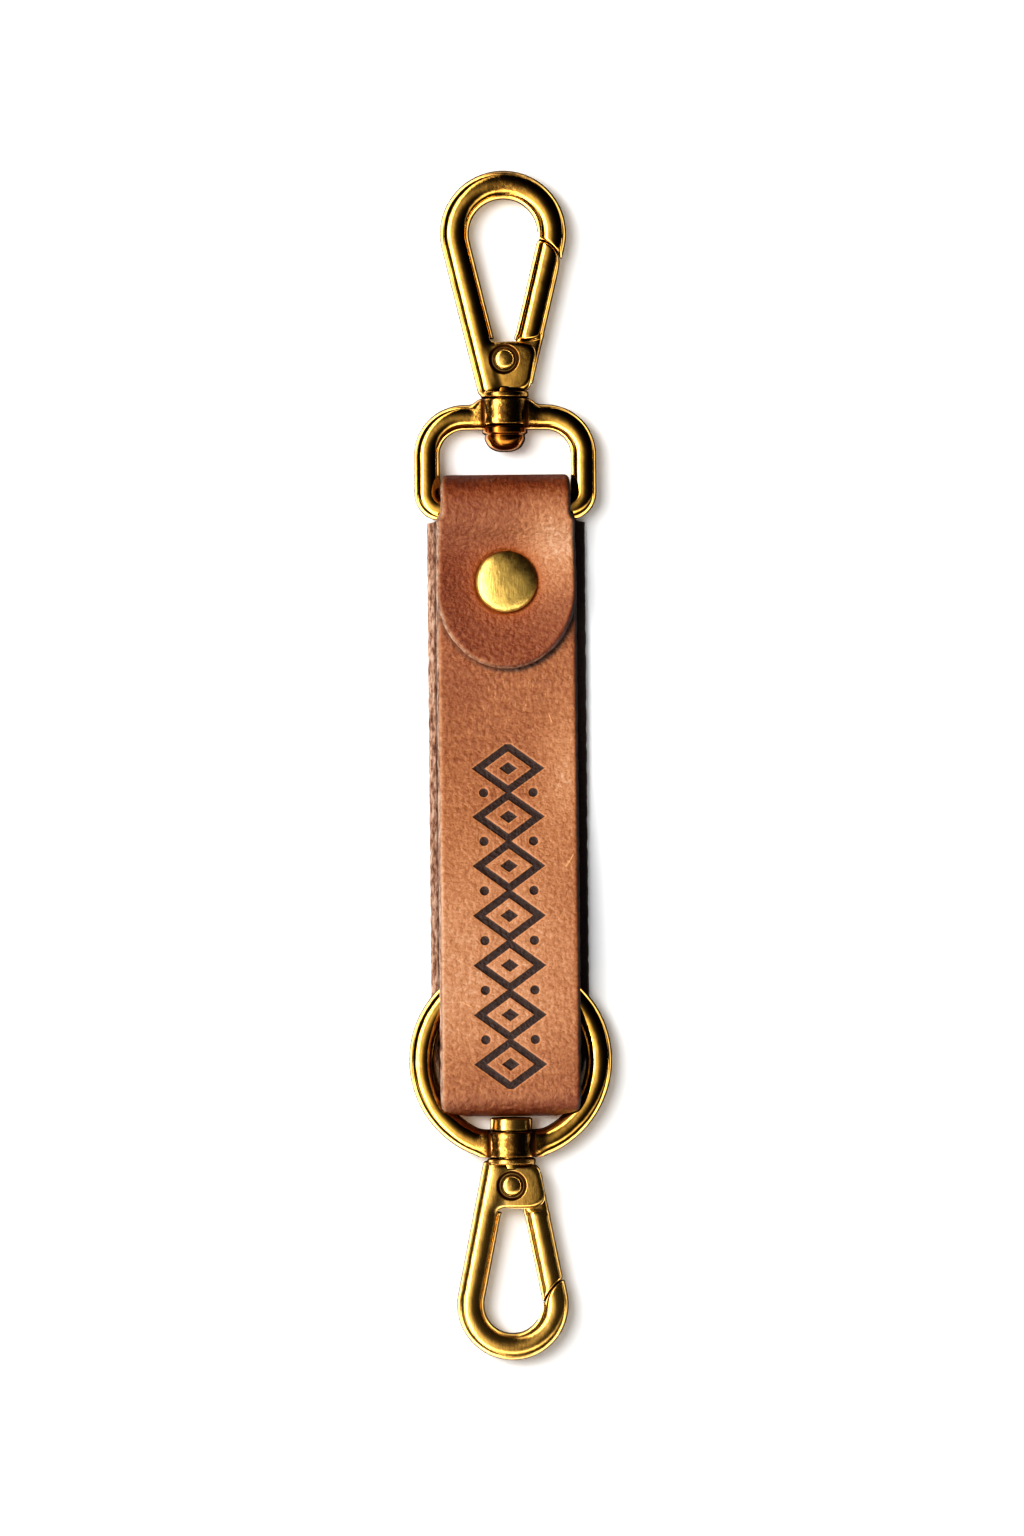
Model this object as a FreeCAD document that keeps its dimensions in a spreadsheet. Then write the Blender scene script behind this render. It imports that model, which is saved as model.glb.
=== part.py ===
import FreeCAD, Part
import math
import os
import re
import Sketcher
from FreeCAD import Placement, Rotation, Vector

# A leather strap keychain with a swivel snap hook at each end, lying on its back.
# The strap runs along Y, the D ring end is +Y, and Z = 0 is the surface it lies on.
# The origin is under the middle of the whole keychain. Millimetres throughout.

SIZES = {
    # The strap is one strip of leather: back layer, two folds, front layer and flap.
    "leather_thick": 1.95,
    "layer_pitch": 2.0,
    "axis_height": 4.1,
    "front_width": 20.8,
    "back_width": 23.7,
    "neck_width": 19.4,
    "neck_start": 31.5,
    "neck_end": 36.4,
    "back_neck_start": 35.4,
    "back_taper_start": -41.0,
    "top_fold": 39.5,
    "bottom_fold": -48.5,
    "tongue_end": 34.0,
    "front_rise_start": 12.0,
    "front_rise_end": -28.8,
    "flap_drop_start": 38.5,
    "flap_drop_end": 32.3,
    "flap_tip": 14.5,
    "flap_round": 12.0,
    # The double-cap rivet through the three layers.
    "rivet_place": 27.5,
    "cap_diameter": 9.2,
    "cap_dome": 1.45,
    "cap_sink": 0.3,
    "cap_round": 1.2,
    "post_grip": 0.8,
    "back_cap_thick": 0.75,
    "back_cap_round": 0.45,
    "post_diameter": 3.3,
    # The D ring in the top fold.
    "d_wire": 3.8,
    "d_width": 27.3,
    "d_bar": 38.6,
    "d_top": 54.1,
    "d_corner": 5.7,
    "d_low_corner": 2.3,
    # The round ring in the bottom fold.
    "round_wire": 3.9,
    "round_diameter": 30.4,
    "round_centre": -44.2,
    "ring_travel": 11.0,
    # Swivels: the boss on each ring, its bore and the stud that turns in it.
    "bore_diameter": 4.0,
    "stud_diameter": 3.9,
    "swivel_gap": 0.15,
    "stud_socket": 1.7,
    "top_boss_face": 55.0,
    "top_boss_length": 4.75,
    "top_boss_diameter": 7.0,
    "top_ear_width": 8.8,
    "top_head_radius": 3.4,
    "top_head_length": 3.1,
    "top_head_round": 2.6,
    "low_boss_face": -58.75,
    "low_boss_length": 3.9,
    "low_boss_diameter": 7.2,
    "low_ear_width": 9.3,
    "low_head_radius": 3.15,
    "low_head_length": 1.85,
    "low_head_round": 0.3,
    "ear_thick": 4.6,
    "ear_round": 1.0,
    # Both snap hooks: base plates, slot, gate tail, pivot rivet and gate spring.
    "rim_radius": 3.6,
    "rim_length": 0.9,
    "base_thick": 5.6,
    "base_round": 0.45,
    "slot_width": 3.5,
    "slot_floor": 2.1,
    "slot_wall": 2.6,
    "tail_thick": 3.2,
    "ear_radius": 1.95,
    "spring_room": 1.7,
    "spring_reach": 3.4,
    "pivot_diameter": 2.3,
    "pivot_hole": 2.4,
    "pivot_head": 3.6,
    "pivot_head_height": 0.7,
    "pivot_head_round": 0.5,
    "pivot_recess": 4.4,
    "pivot_recess_depth": 0.35,
    "spring_wire": 0.45,
    "spring_radius": 1.6,
    "spring_pitch": 0.5,
    "spring_leg": 2.6,
    "nose_gap": 0.15,
    # The top hook, measured from the outer face of its ring's boss.
    "top_reach": 34.2,
    "top_loop_radius": 9.45,
    "top_bar": 4.3,
    "top_gate_bar": 4.15,
    "top_slant": 13.5,
    "top_pivot": 5.85,
    "top_eye": 8.55,
    "top_plate_low": 3.0,
    "top_plate_high": 3.7,
    "top_plate_left": 4.2,
    "top_nose_x": 5.7,
    "top_nose_y": 23.7,
    "top_nose_out_x": 8.6,
    "top_nose_out_y": 20.5,
    # The bottom hook, smaller and lighter.
    "low_reach": 30.45,
    "low_loop_radius": 8.35,
    "low_bar": 4.05,
    "low_gate_bar": 3.7,
    "low_slant": 11.3,
    "low_pivot": 4.2,
    "low_eye": 7.8,
    "low_plate_low": 3.3,
    "low_plate_high": 4.0,
    "low_plate_left": 4.2,
    "low_nose_x": 4.9,
    "low_nose_y": 21.5,
    "low_nose_out_x": 7.5,
    "low_nose_out_y": 18.4,
}

WORD = re.compile(r"\b(" + "|".join(SIZES) + r")\b")
ALONG_Y = Rotation(Vector(1, 0, 0), -90)
FLIP = Rotation(Vector(1, 0, 0), 180)

doc = FreeCAD.newDocument("keychain")
sheet = doc.addObject("Spreadsheet::Sheet", "Sizes")
for row, (alias, size) in enumerate(SIZES.items(), start=1):
    sheet.set(f"A{row}", alias)
    sheet.set(f"B{row}", str(size))
    sheet.setAlias(f"B{row}", alias)
doc.recompute()


def formula(text):
    """The expression for a size given in words, such as 'd_width / 2'."""
    return WORD.sub(r"Sizes.\1", text)


def number(text):
    """The present value in millimetres of a size given in words."""
    return float(sheet.evalExpression(formula(text)))


def bind(thing, **sizes):
    """Ties properties of an object to formulas of the sheet."""
    for name, text in sizes.items():
        thing.setExpression(name, formula(text))


def put(thing, x="0", y="0", z="0", turn=Rotation()):
    """Places an object, with each coordinate tied to the sheet."""
    thing.Placement = Placement(Vector(number(x), number(y), number(z)), turn)
    for axis, text in (("x", x), ("y", y), ("z", z)):
        thing.setExpression(f"Placement.Base.{axis}", formula(text))
    return thing


def primitive(kind, name, **sizes):
    thing = doc.addObject(f"Part::{kind}", name)
    bind(thing, **sizes)
    return thing


def box(name, low, size):
    """A box from its lowest corner and its three side lengths."""
    thing = primitive("Box", name, Length=size[0], Width=size[1], Height=size[2])
    return put(thing, *low)


def upright(name, radius, x, y, thick):
    """A cylinder along Z, centred on Z = 0."""
    thing = primitive("Cylinder", name, Radius=radius, Height=thick)
    return put(thing, x, y, f"-({thick}) / 2")


def axial(name, radius, start, length):
    """A cylinder along Y, on the swivel axis."""
    thing = primitive("Cylinder", name, Radius=radius, Height=length)
    return put(thing, "0", start, "0", ALONG_Y)


def fuse(name, *things):
    whole = doc.addObject("Part::MultiFuse", name)
    whole.Shapes = list(things)
    whole.Refine = True
    return whole


def cut(name, base, *tools):
    result = doc.addObject("Part::Cut", name)
    result.Base = base
    result.Tool = tools[0] if len(tools) == 1 else fuse(name + "_tools", *tools)
    return result


def common(name, first, second):
    result = doc.addObject("Part::Common", name)
    result.Base = first
    result.Tool = second
    return result


def new_body(name):
    return doc.addObject("PartDesign::Body", name)


def sketch_on(body, name, role):
    """An empty sketch on one of its body's own origin planes."""
    sketch = body.newObject("Sketcher::SketchObject", name)
    plane = next(item for item in body.Origin.OriginFeatures if item.Role == role)
    sketch.AttachmentSupport = [(plane, "")]
    sketch.MapMode = "FlatFace"
    return sketch


def outline(body, name, role, corners):
    """A closed sketch of straight lines whose corners are tied to the sheet."""
    sketch = sketch_on(body, name, role)
    values = [Vector(number(x), number(y), 0) for x, y in corners]
    count = len(corners)
    for i in range(count):
        sketch.addGeometry(Part.LineSegment(values[i], values[(i + 1) % count]))
    for i in range(count):
        sketch.addConstraint(Sketcher.Constraint("Coincident", i, 2, (i + 1) % count, 1))
    for i, corner in enumerate(corners):
        for kind, text, value in zip(("DistanceX", "DistanceY"), corner, values[i]):
            where = sketch.addConstraint(Sketcher.Constraint(kind, -1, 1, i, 1, value))
            sketch.setExpression(f"Constraints[{where}]", formula(text))
    doc.recompute()
    return sketch


def plate(name, corners, thick):
    """A body: one outline in the plane of the hook, padded to both sides."""
    body = new_body(name)
    pad = body.newObject("PartDesign::Pad", name + "_pad")
    pad.Profile = outline(body, name + "_outline", "XY_Plane", corners)
    pad.SideType = "Symmetric"
    bind(pad, Length=thick)
    doc.recompute()
    return body


def turned(name, role, corners):
    """A body turned about its sketch's upright axis."""
    body = new_body(name)
    turning = body.newObject("PartDesign::Revolution", name + "_turned")
    turning.Profile = outline(body, name + "_outline", role, corners)
    turning.ReferenceAxis = (turning.Profile[0], ["V_Axis"])
    turning.Angle = 360
    doc.recompute()
    return body


def circle_at(radius, y=None, z=None):
    """A test for circular edges of one radius at one level of Y or Z, or at either sign of Z."""
    level = number(y if z is None else z)

    def wanted(edge):
        if not isinstance(edge.Curve, Part.Circle):
            return False
        centre = edge.Curve.Center
        away = centre.y - level if z is None else abs(centre.z) - level
        return abs(edge.Curve.Radius - number(radius)) < 1e-4 and abs(away) < 1e-4

    return wanted


def rounded(body, radius, wanted):
    """Fillets the edges of a body's tip that answer to a test."""
    tip = body.Tip
    names = [f"Edge{i}" for i, edge in enumerate(tip.Shape.Edges, start=1) if wanted(edge)]
    fillet = body.newObject("PartDesign::Fillet", body.Name + "_round")
    fillet.Base = (tip, names)
    bind(fillet, Radius=radius)
    doc.recompute()
    return body


def finish(thing, label):
    """Names a finished sub-part."""
    thing.Label = label
    parts.append(thing)
    return thing


parts = []


# ---- The leather strap -------------------------------------------------------------------

def strip_face(start, heading, moves, thick):
    """The side view of a bent strip, in the YZ plane.

    Each move is ("run", length) or ("bend", radius of the middle line, angle), where a
    positive angle turns anticlockwise as seen from +X with Y to the right and Z up.
    """
    half = thick / 2
    sides = {+half: [], -half: []}
    spot = Vector(0, *start)
    angle = math.radians(heading)

    def offset(point, direction, side):
        return point + Vector(0, -math.sin(direction), math.cos(direction)) * side

    for kind, *sizes in moves:
        if kind == "run":
            ahead = spot + Vector(0, math.cos(angle), math.sin(angle)) * sizes[0]
            for side, edges in sides.items():
                ends = offset(spot, angle, side), offset(ahead, angle, side)
                edges.append(Part.LineSegment(*ends).toShape())
            spot = ahead
            continue
        radius, sweep = sizes[0], math.radians(sizes[1])
        centre = offset(spot, angle, math.copysign(radius, sweep))
        stations = [angle, angle + sweep / 2, angle + sweep]
        middle = [offset(centre, a, -math.copysign(radius, sweep)) for a in stations]
        for side, edges in sides.items():
            three = [offset(point, a, side) for point, a in zip(middle, stations)]
            edges.append(Part.Arc(*three).toShape())
        spot = middle[-1]
        angle += sweep
    caps = []
    for pick, index in ((0, 0), (-1, -1)):
        first, second = (edges[pick].Vertexes[index].Point for edges in sides.values())
        caps.append(Part.LineSegment(first, second).toShape())
    edges = sides[half] + sides[-half] + caps
    return Part.Face(Part.Wire(Part.__sortEdges__(edges)))


def s_bend(run, rise):
    """Radius and angle of the two equal arcs that join parallel levels."""
    radius = (run ** 2 + rise ** 2) / (4 * abs(rise))
    return radius, math.degrees(2 * math.atan2(abs(rise), run))


def leather_strip():
    """The whole strip at full width, folded round both rings' bars."""
    thick = number("leather_thick")
    low = thick / 2
    high = 2 * number("axis_height") - low
    fold = (high - low) / 2
    front = low + number("layer_pitch")
    flap = front + number("layer_pitch")
    rise_run = number("front_rise_start - front_rise_end")
    rise_radius, rise_angle = s_bend(rise_run, high - front)
    drop_run = number("flap_drop_start - flap_drop_end")
    drop_radius, drop_angle = s_bend(drop_run, high - flap)
    moves = [
        ("run", number("tongue_end - front_rise_start")),
        ("bend", rise_radius, -rise_angle),
        ("bend", rise_radius, rise_angle),
        ("run", number("front_rise_end - bottom_fold")),
        ("bend", fold, 180),
        ("run", number("top_fold - bottom_fold")),
        ("bend", fold, 180),
        ("run", number("top_fold - flap_drop_start")),
        ("bend", drop_radius, drop_angle),
        ("bend", drop_radius, -drop_angle),
        ("run", number("flap_drop_end - flap_tip")),
    ]
    face = strip_face((number("tongue_end"), front), 180, moves, thick)
    half = number("back_width / 2")
    solid = face.extrude(Vector(2 * half, 0, 0))
    solid.translate(Vector(-half, 0, 0))
    return solid


def mirrored_outline(right):
    """A symmetric outline from the points on its +X side."""
    left = [(f"-({x})", y) for x, y in reversed(right)]
    return right + left


strip = doc.addObject("Part::Feature", "strip")
strip.Shape = leather_strip()

back_plan = plate("back_plan", mirrored_outline([
    ("front_width / 2", "bottom_fold - 9"),
    ("front_width / 2", "bottom_fold"),
    ("back_width / 2", "back_taper_start"),
    ("back_width / 2", "back_neck_start"),
    ("neck_width / 2", "neck_end"),
    ("neck_width / 2", "top_fold + 9"),
]), "2 * layer_pitch - (layer_pitch - leather_thick)")
upper_plan = plate("upper_plan", mirrored_outline([
    ("front_width / 2", "bottom_fold - 9"),
    ("front_width / 2", "neck_start"),
    ("neck_width / 2", "neck_end"),
    ("neck_width / 2", "top_fold + 9"),
]), "2 * axis_height")
put(upper_plan, z="axis_height + (layer_pitch + leather_thick) / 2")
strap_plan = fuse("strap_plan", back_plan, upper_plan)
trimmed = common("trimmed_strip", strip, strap_plan)

# The free end of the flap is half an ellipse.
flap_end = primitive("Ellipse", "flap_curve", MajorRadius="flap_round",
                     MinorRadius="front_width / 2")
put(flap_end, "0", "flap_tip + flap_round", "0", Rotation(Vector(0, 0, 1), 90))
flap_column = doc.addObject("Part::Extrusion", "flap_column")
flap_column.Base = flap_end
flap_column.Dir = Vector(0, 0, 1)
flap_column.Solid = True
bind(flap_column, LengthFwd="4 * axis_height")
flap_zone = box("flap_zone", ("-back_width / 2", "front_rise_start", "2 * layer_pitch - 0.025"),
                ("back_width", "flap_tip + flap_round - front_rise_start", "2 * axis_height"))
flap_waste = cut("flap_waste", flap_zone, flap_column)

# The round ring's sides pass through cut-outs in the bottom fold, over its whole travel.
fold_clear = box("fold_clear",
                 ("-back_width / 2", "bottom_fold - 9", "axis_height - round_wire / 2 - 0.15"),
                 ("back_width", "9", "round_wire + 0.3"))
inside = "(round_diameter / 2 - round_wire - 0.2)"
ring_at_rest = upright("inside_at_rest", inside, "0", "round_centre", "6 * axis_height")
ring_pulled = upright("inside_pulled", inside, "0", "round_centre - ring_travel",
                      "6 * axis_height")
waist = common("fold_waist", ring_at_rest, ring_pulled)
fold_waste = cut("fold_waste", fold_clear, waist)

rivet_hole = upright("rivet_hole", "post_diameter / 2 + 0.05", "0", "rivet_place",
                     "6 * axis_height")
cap_seat = primitive("Cylinder", "cap_seat", Radius="cap_diameter / 2 + 0.1", Height="4")
put(cap_seat, "0", "rivet_place", "3 * layer_pitch - (layer_pitch - leather_thick) - cap_sink")
back_seat = primitive("Cylinder", "back_seat", Radius="cap_diameter / 2 + 0.1",
                      Height="back_cap_thick")
put(back_seat, "0", "rivet_place", "0")
strap = cut("strap", trimmed, flap_waste, fold_waste, rivet_hole, cap_seat, back_seat)
finish(strap, "strap")

# ---- The rivet ---------------------------------------------------------------------------

flap_top = "(3 * layer_pitch - (layer_pitch - leather_thick))"
cap_base = f"({flap_top} - cap_sink)"
rivet_cap = turned("rivet_cap", "XZ_Plane", [
    ("post_diameter / 2 + 0.05", cap_base),
    ("cap_diameter / 2", cap_base),
    ("cap_diameter / 2", f"{cap_base} + cap_sink + cap_dome"),
    ("0", f"{cap_base} + cap_sink + cap_dome"),
    ("0", f"{cap_base} + post_grip"),
    ("post_diameter / 2 + 0.05", f"{cap_base} + post_grip"),
])
rounded(rivet_cap, "cap_round", circle_at("cap_diameter / 2", z=f"{cap_base} + cap_sink + cap_dome"))
finish(put(rivet_cap, y="rivet_place"), "rivet_cap")

rivet_post = turned("rivet_post", "XZ_Plane", [
    ("0", "0"),
    ("cap_diameter / 2", "0"),
    ("cap_diameter / 2", "back_cap_thick"),
    ("post_diameter / 2", "back_cap_thick"),
    ("post_diameter / 2", f"{cap_base} + post_grip"),
    ("0", f"{cap_base} + post_grip"),
])
rounded(rivet_post, "back_cap_round", circle_at("cap_diameter / 2", z="0"))
finish(put(rivet_post, y="rivet_place"), "rivet_post")


# ---- The rings ---------------------------------------------------------------------------

def d_ring_wire():
    """A body: a round section swept along the closed D path."""
    body = new_body("d_ring_wire")
    path = sketch_on(body, "d_path", "XY_Plane")
    side = number("d_width / 2 - d_wire / 2")
    low, high = number("d_bar"), number("d_top - d_wire / 2")
    big, small = number("d_corner"), number("d_low_corner")

    def corner(x, y, radius, start):
        circle = Part.Circle(Vector(x, y, 0), Vector(0, 0, 1), radius)
        return Part.ArcOfCircle(circle, math.radians(start), math.radians(start + 90))

    stops = [
        Part.LineSegment(Vector(0, low, 0), Vector(side - small, low, 0)),
        corner(side - small, low + small, small, 270),
        Part.LineSegment(Vector(side, low + small, 0), Vector(side, high - big, 0)),
        corner(side - big, high - big, big, 0),
        Part.LineSegment(Vector(side - big, high, 0), Vector(big - side, high, 0)),
        corner(big - side, high - big, big, 90),
        Part.LineSegment(Vector(-side, high - big, 0), Vector(-side, low + small, 0)),
        corner(small - side, low + small, small, 180),
        Part.LineSegment(Vector(small - side, low, 0), Vector(0, low, 0)),
    ]
    path.addGeometry(stops)
    section = sketch_on(body, "d_section", "YZ_Plane")
    section.addGeometry(Part.Circle(Vector(low, 0, 0), Vector(0, 0, 1), 1))
    where = section.addConstraint(Sketcher.Constraint("Radius", 0, 1))
    section.setExpression(f"Constraints[{where}]", formula("d_wire / 2"))
    where = section.addConstraint(Sketcher.Constraint("DistanceX", -1, 1, 0, 3, low))
    section.setExpression(f"Constraints[{where}]", formula("d_bar"))
    section.addConstraint(Sketcher.Constraint("PointOnObject", 0, 3, -1))
    doc.recompute()
    pipe = body.newObject("PartDesign::AdditivePipe", "d_sweep")
    pipe.Profile = section
    pipe.Spine = (path, [f"Edge{i + 1}" for i in range(len(stops))])
    doc.recompute()
    return body


def boss(prefix, start):
    """The swivel boss of a ring: a barrel with an ear on each side that meets the wire."""
    length = prefix + "_boss_length"
    barrel = axial(prefix + "_barrel", prefix + "_boss_diameter / 2", start, length)
    half = prefix + "_ear_width / 2"
    ears = plate(prefix + "_ears", [
        (f"-{half}", start),
        (half, start),
        (half, f"{start} + {length}"),
        (f"-{half}", f"{start} + {length}"),
    ], "ear_thick")
    corner = number(half) + number("ear_thick / 2") - 0.01
    rounded(ears, "ear_round",
            lambda edge: abs(edge.CenterOfMass.x) + abs(edge.CenterOfMass.z) > corner)
    return [barrel, ears]


def bore(prefix, start):
    return axial(prefix + "_bore", "bore_diameter / 2", f"{start} - 1",
                 f"{prefix}_boss_length + 2")


top_boss_start = "top_boss_face - top_boss_length"
top_solid = fuse("top_ring_solid", d_ring_wire(), *boss("top", top_boss_start))
top_ring = cut("top_ring", top_solid, bore("top", top_boss_start))
finish(put(top_ring, z="axis_height"), "top_ring")

wire_loop = primitive("Torus", "round_wire_loop", Radius2="round_wire / 2",
                      Radius1="round_diameter / 2 - round_wire / 2")
put(wire_loop, y="round_centre")
low_solid = fuse("bottom_ring_solid", wire_loop, *boss("low", "low_boss_face"))
boss_flat = box("boss_flat", ("-low_ear_width / 2 - 0.05", "low_boss_face - 4", "-4"),
                ("low_ear_width + 0.1", "4", "8"))
bottom_ring = cut("bottom_ring", low_solid, bore("low", "low_boss_face"), boss_flat)
finish(put(bottom_ring, z="axis_height"), "bottom_ring")


# ---- The snap hooks ----------------------------------------------------------------------
# Each hook is drawn with its swivel axis along +Y and its ring's boss face at Y = 0, its
# gate on the +X side, and then placed. The bottom hook is the same kind turned over.

def limb(name, prefix, side, radius, length, start=0.0):
    """A round limb that runs from where it leaves the loop down towards the base."""
    slant = math.radians(number(prefix + "_slant"))
    middle = number(f"{prefix}_loop_radius - {prefix}_bar / 2")
    centre = number(f"{prefix}_reach - {prefix}_loop_radius")
    down = Vector(-side * math.sin(slant), -math.cos(slant), 0)
    top = Vector(side * middle * math.cos(slant), centre - middle * math.sin(slant), 0)
    rod = primitive("Cylinder", name, Radius=radius, Height=length)
    rod.Placement = Placement(top + down * start, Rotation(Vector(0, 0, 1), down))
    return rod


def nose_side(name, prefix, gap):
    """The part of the plane on the gate's side of the slanted nose joint."""
    x, y = number(prefix + "_nose_x"), number(prefix + "_nose_y")
    across = Vector(number(prefix + "_nose_out_x") - x, number(prefix + "_nose_out_y") - y, 0)
    across.normalize()
    inward = Vector(across.y, -across.x, 0)
    start = Vector(x, y, 0) + inward * gap
    corners = [start - across * 3, start + across * 7]
    corners += [corners[1] + inward * 9, corners[0] + inward * 9]
    texts = [(f"{corner.x:.6f}", f"{corner.y:.6f}") for corner in corners]
    return plate(name, texts, "8")


def pivot_pin(name, prefix, radius, thick):
    return upright(name, radius, "0", prefix + "_pivot", thick)


def hook_frame(prefix):
    """Rim, base plates, closed limb, loop and nose, as one casting."""
    slant = prefix + "_slant"
    reach = f"({prefix}_reach - {prefix}_loop_radius)"
    bar = prefix + "_bar / 2"
    loop = primitive("Torus", prefix + "_loop", Radius2=bar, Angle3=f"180 + 2 * {slant}",
                     Radius1=f"{prefix}_loop_radius - {prefix}_bar / 2")
    put(loop, "0", reach, "0", Rotation(Vector(0, 0, 1), -number(slant)))
    closed = limb(prefix + "_closed_limb", prefix, -1, bar,
                  f"{reach} / cos({slant}) - {prefix}_bar - rim_length")
    nose = limb(prefix + "_nose_limb", prefix, 1, bar, f"{prefix}_bar")
    rim = axial(prefix + "_rim", "rim_radius", "swivel_gap", "rim_length + 0.1 - swivel_gap")
    base = plate(prefix + "_base", [
        (f"-{prefix}_plate_low", "rim_length"),
        (f"{prefix}_plate_low", "rim_length"),
        (f"{prefix}_plate_high", f"{prefix}_eye - 1"),
        (f"{prefix}_plate_high - 0.5", f"{prefix}_eye"),
        (f"-{prefix}_plate_left", f"{prefix}_eye"),
    ], "base_thick")
    rounded(base, "base_round",
            lambda edge: abs(abs(edge.CenterOfMass.z) - number("base_thick / 2")) < 1e-4)
    slot = box(prefix + "_slot", ("-slot_wall", "slot_floor", "-slot_width / 2"),
               ("12", f"{prefix}_eye - slot_floor + 0.05", "slot_width"))
    socket = axial(prefix + "_socket", "stud_diameter / 2 + 0.02", "-1", "1 + stud_socket")
    hole = pivot_pin(prefix + "_rivet_hole", prefix, "pivot_diameter / 2 + 0.02", "10")
    recess = pivot_pin(prefix + "_recesses", prefix, "pivot_recess / 2", "10")
    web = pivot_pin(prefix + "_recess_floor", prefix, "pivot_recess",
                    "base_thick - 2 * pivot_recess_depth")
    recesses = cut(prefix + "_recess_rings", recess, web)
    solid = fuse(prefix + "_frame_solid", loop, closed, nose, rim, base)
    gate_side = nose_side(prefix + "_nose_cut", prefix, 0.0)
    return cut(prefix + "_hook_frame", solid, slot, socket, hole, recesses, gate_side)


def gate(prefix):
    """The sprung gate: a round bar with a slotted tail that swings between the plates."""
    bar = prefix + "_gate_bar / 2"
    reach = f"({prefix}_reach - {prefix}_loop_radius)"
    rod = limb(prefix + "_gate_rod", prefix, 1, bar, f"{reach} + 3", start=-3.0)
    above = box(prefix + "_above_plates", ("-20", f"{prefix}_eye + swivel_gap", "-4"),
                ("40", "30", "8"))
    thick_end = common(prefix + "_gate_bar_end", rod, above)
    tail_zone = box(prefix + "_tail_zone", ("-20", "1.2", "-tail_thick / 2"),
                    ("40", f"{prefix}_eye", "tail_thick"))
    ear = pivot_pin(prefix + "_gate_ear", prefix, "ear_radius", "tail_thick")
    tail = fuse(prefix + "_gate_tail", common(prefix + "_tail_bar", rod, tail_zone), ear)
    whole = fuse(prefix + "_gate_solid", thick_end, tail)
    base_zone = plate(prefix + "_base_zone", [
        ("-6", "-1"),
        (f"{prefix}_plate_low + 0.25", "-1"),
        (f"{prefix}_plate_low + 0.35", "slot_floor + 0.15"),
        ("-6", "slot_floor + 0.15"),
    ], "8")
    room = pivot_pin(prefix + "_spring_room", prefix, "spring_reach", "spring_room")
    hole = pivot_pin(prefix + "_gate_hole", prefix, "pivot_hole / 2", "8")
    keep = nose_side(prefix + "_gate_side", prefix, number("nose_gap"))
    closed = common(prefix + "_gate_closed", whole, keep_below(prefix, keep))
    return cut(prefix + "_gate", closed, base_zone, room, hole)


def keep_below(prefix, side):
    """The gate's side of the nose joint together with everything nearer the base."""
    rest = box(prefix + "_lower_side", ("-20", "-2", "-4"),
               ("40", f"{prefix}_nose_out_y - 2", "8"))
    return fuse(prefix + "_kept_side", side, rest)


def swivel_stud(prefix):
    """A headed pin: its shank turns in the boss and is fixed in the hook's base."""
    under = f"-({prefix}_boss_length + swivel_gap)"
    wide = prefix + "_head_radius"
    end = f"{under} - {prefix}_head_length"
    body = turned(prefix + "_swivel_stud", "XY_Plane", [
        ("0", "stud_socket"),
        ("0", end),
        (wide, end),
        (wide, under),
        ("stud_diameter / 2", under),
        ("stud_diameter / 2", "stud_socket"),
    ])
    return rounded(body, prefix + "_head_round", circle_at(wide, y=end))


def gate_rivet(prefix):
    """The pivot rivet, with a low domed head in the recess of each plate."""
    half = "base_thick / 2 - pivot_recess_depth"
    top = f"{half} + pivot_head_height"
    right = [
        ("pivot_head / 2", top),
        ("pivot_head / 2", half),
        ("pivot_diameter / 2", half),
    ]
    mirrored = [(x, f"-({y})") for x, y in reversed(right)]
    ends = [("0", f"-({top})"), ("0", top)]
    body = turned(prefix + "_gate_rivet", "XZ_Plane", right + mirrored + ends)
    return rounded(body, "pivot_head_round", circle_at("pivot_head / 2", z=top))


def gate_spring(prefix):
    """A torsion spring round the pivot, one leg on the frame's wall and one on the gate."""
    turns = "2.18"
    first, last = 205.0, 270.0
    height = f"(spring_pitch * {turns})"
    helix = primitive("Helix", prefix + "_helix", Pitch="spring_pitch", Height=height,
                      Radius="spring_radius")
    helix.Placement = Placement(Vector(0, 0, 0), Rotation(Vector(0, 0, 1), first))
    ring = primitive("Circle", prefix + "_spring_section", Radius="spring_wire / 2")
    radius = number("spring_radius")
    out = Rotation(Vector(0, 0, 1), first).multVec(Vector(radius, 0, 0))
    ring.Placement = Placement(out, Rotation(Vector(0, 0, 1), first) * Rotation(Vector(1, 0, 0), 90))
    coil = doc.addObject("Part::Sweep", prefix + "_coil")
    coil.Sections = [ring]
    coil.Spine = (helix, ["Edge1"])
    coil.Solid = True
    coil.Frenet = True
    legs = []
    for name, angle, level, back in (("wall_leg", first, 0.0, -1), ("gate_leg", last, 1.0, 1)):
        along = Rotation(Vector(0, 0, 1), angle).multVec(Vector(0, back, 0))
        base = Rotation(Vector(0, 0, 1), angle).multVec(Vector(radius, 0, 0))
        leg = primitive("Cylinder", f"{prefix}_{name}", Radius="spring_wire / 2",
                        Height="spring_leg" if back > 0 else "spring_leg - 0.6")
        base.z = level * number(height)
        lap = along * number("spring_wire")
        leg.Placement = Placement(base - lap, Rotation(Vector(0, 0, 1), along))
        legs.append(leg)
    spring = fuse(prefix + "_gate_spring", coil, *legs)
    put(spring, y=prefix + "_pivot", z=f"-{height} / 2")
    return spring


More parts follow.
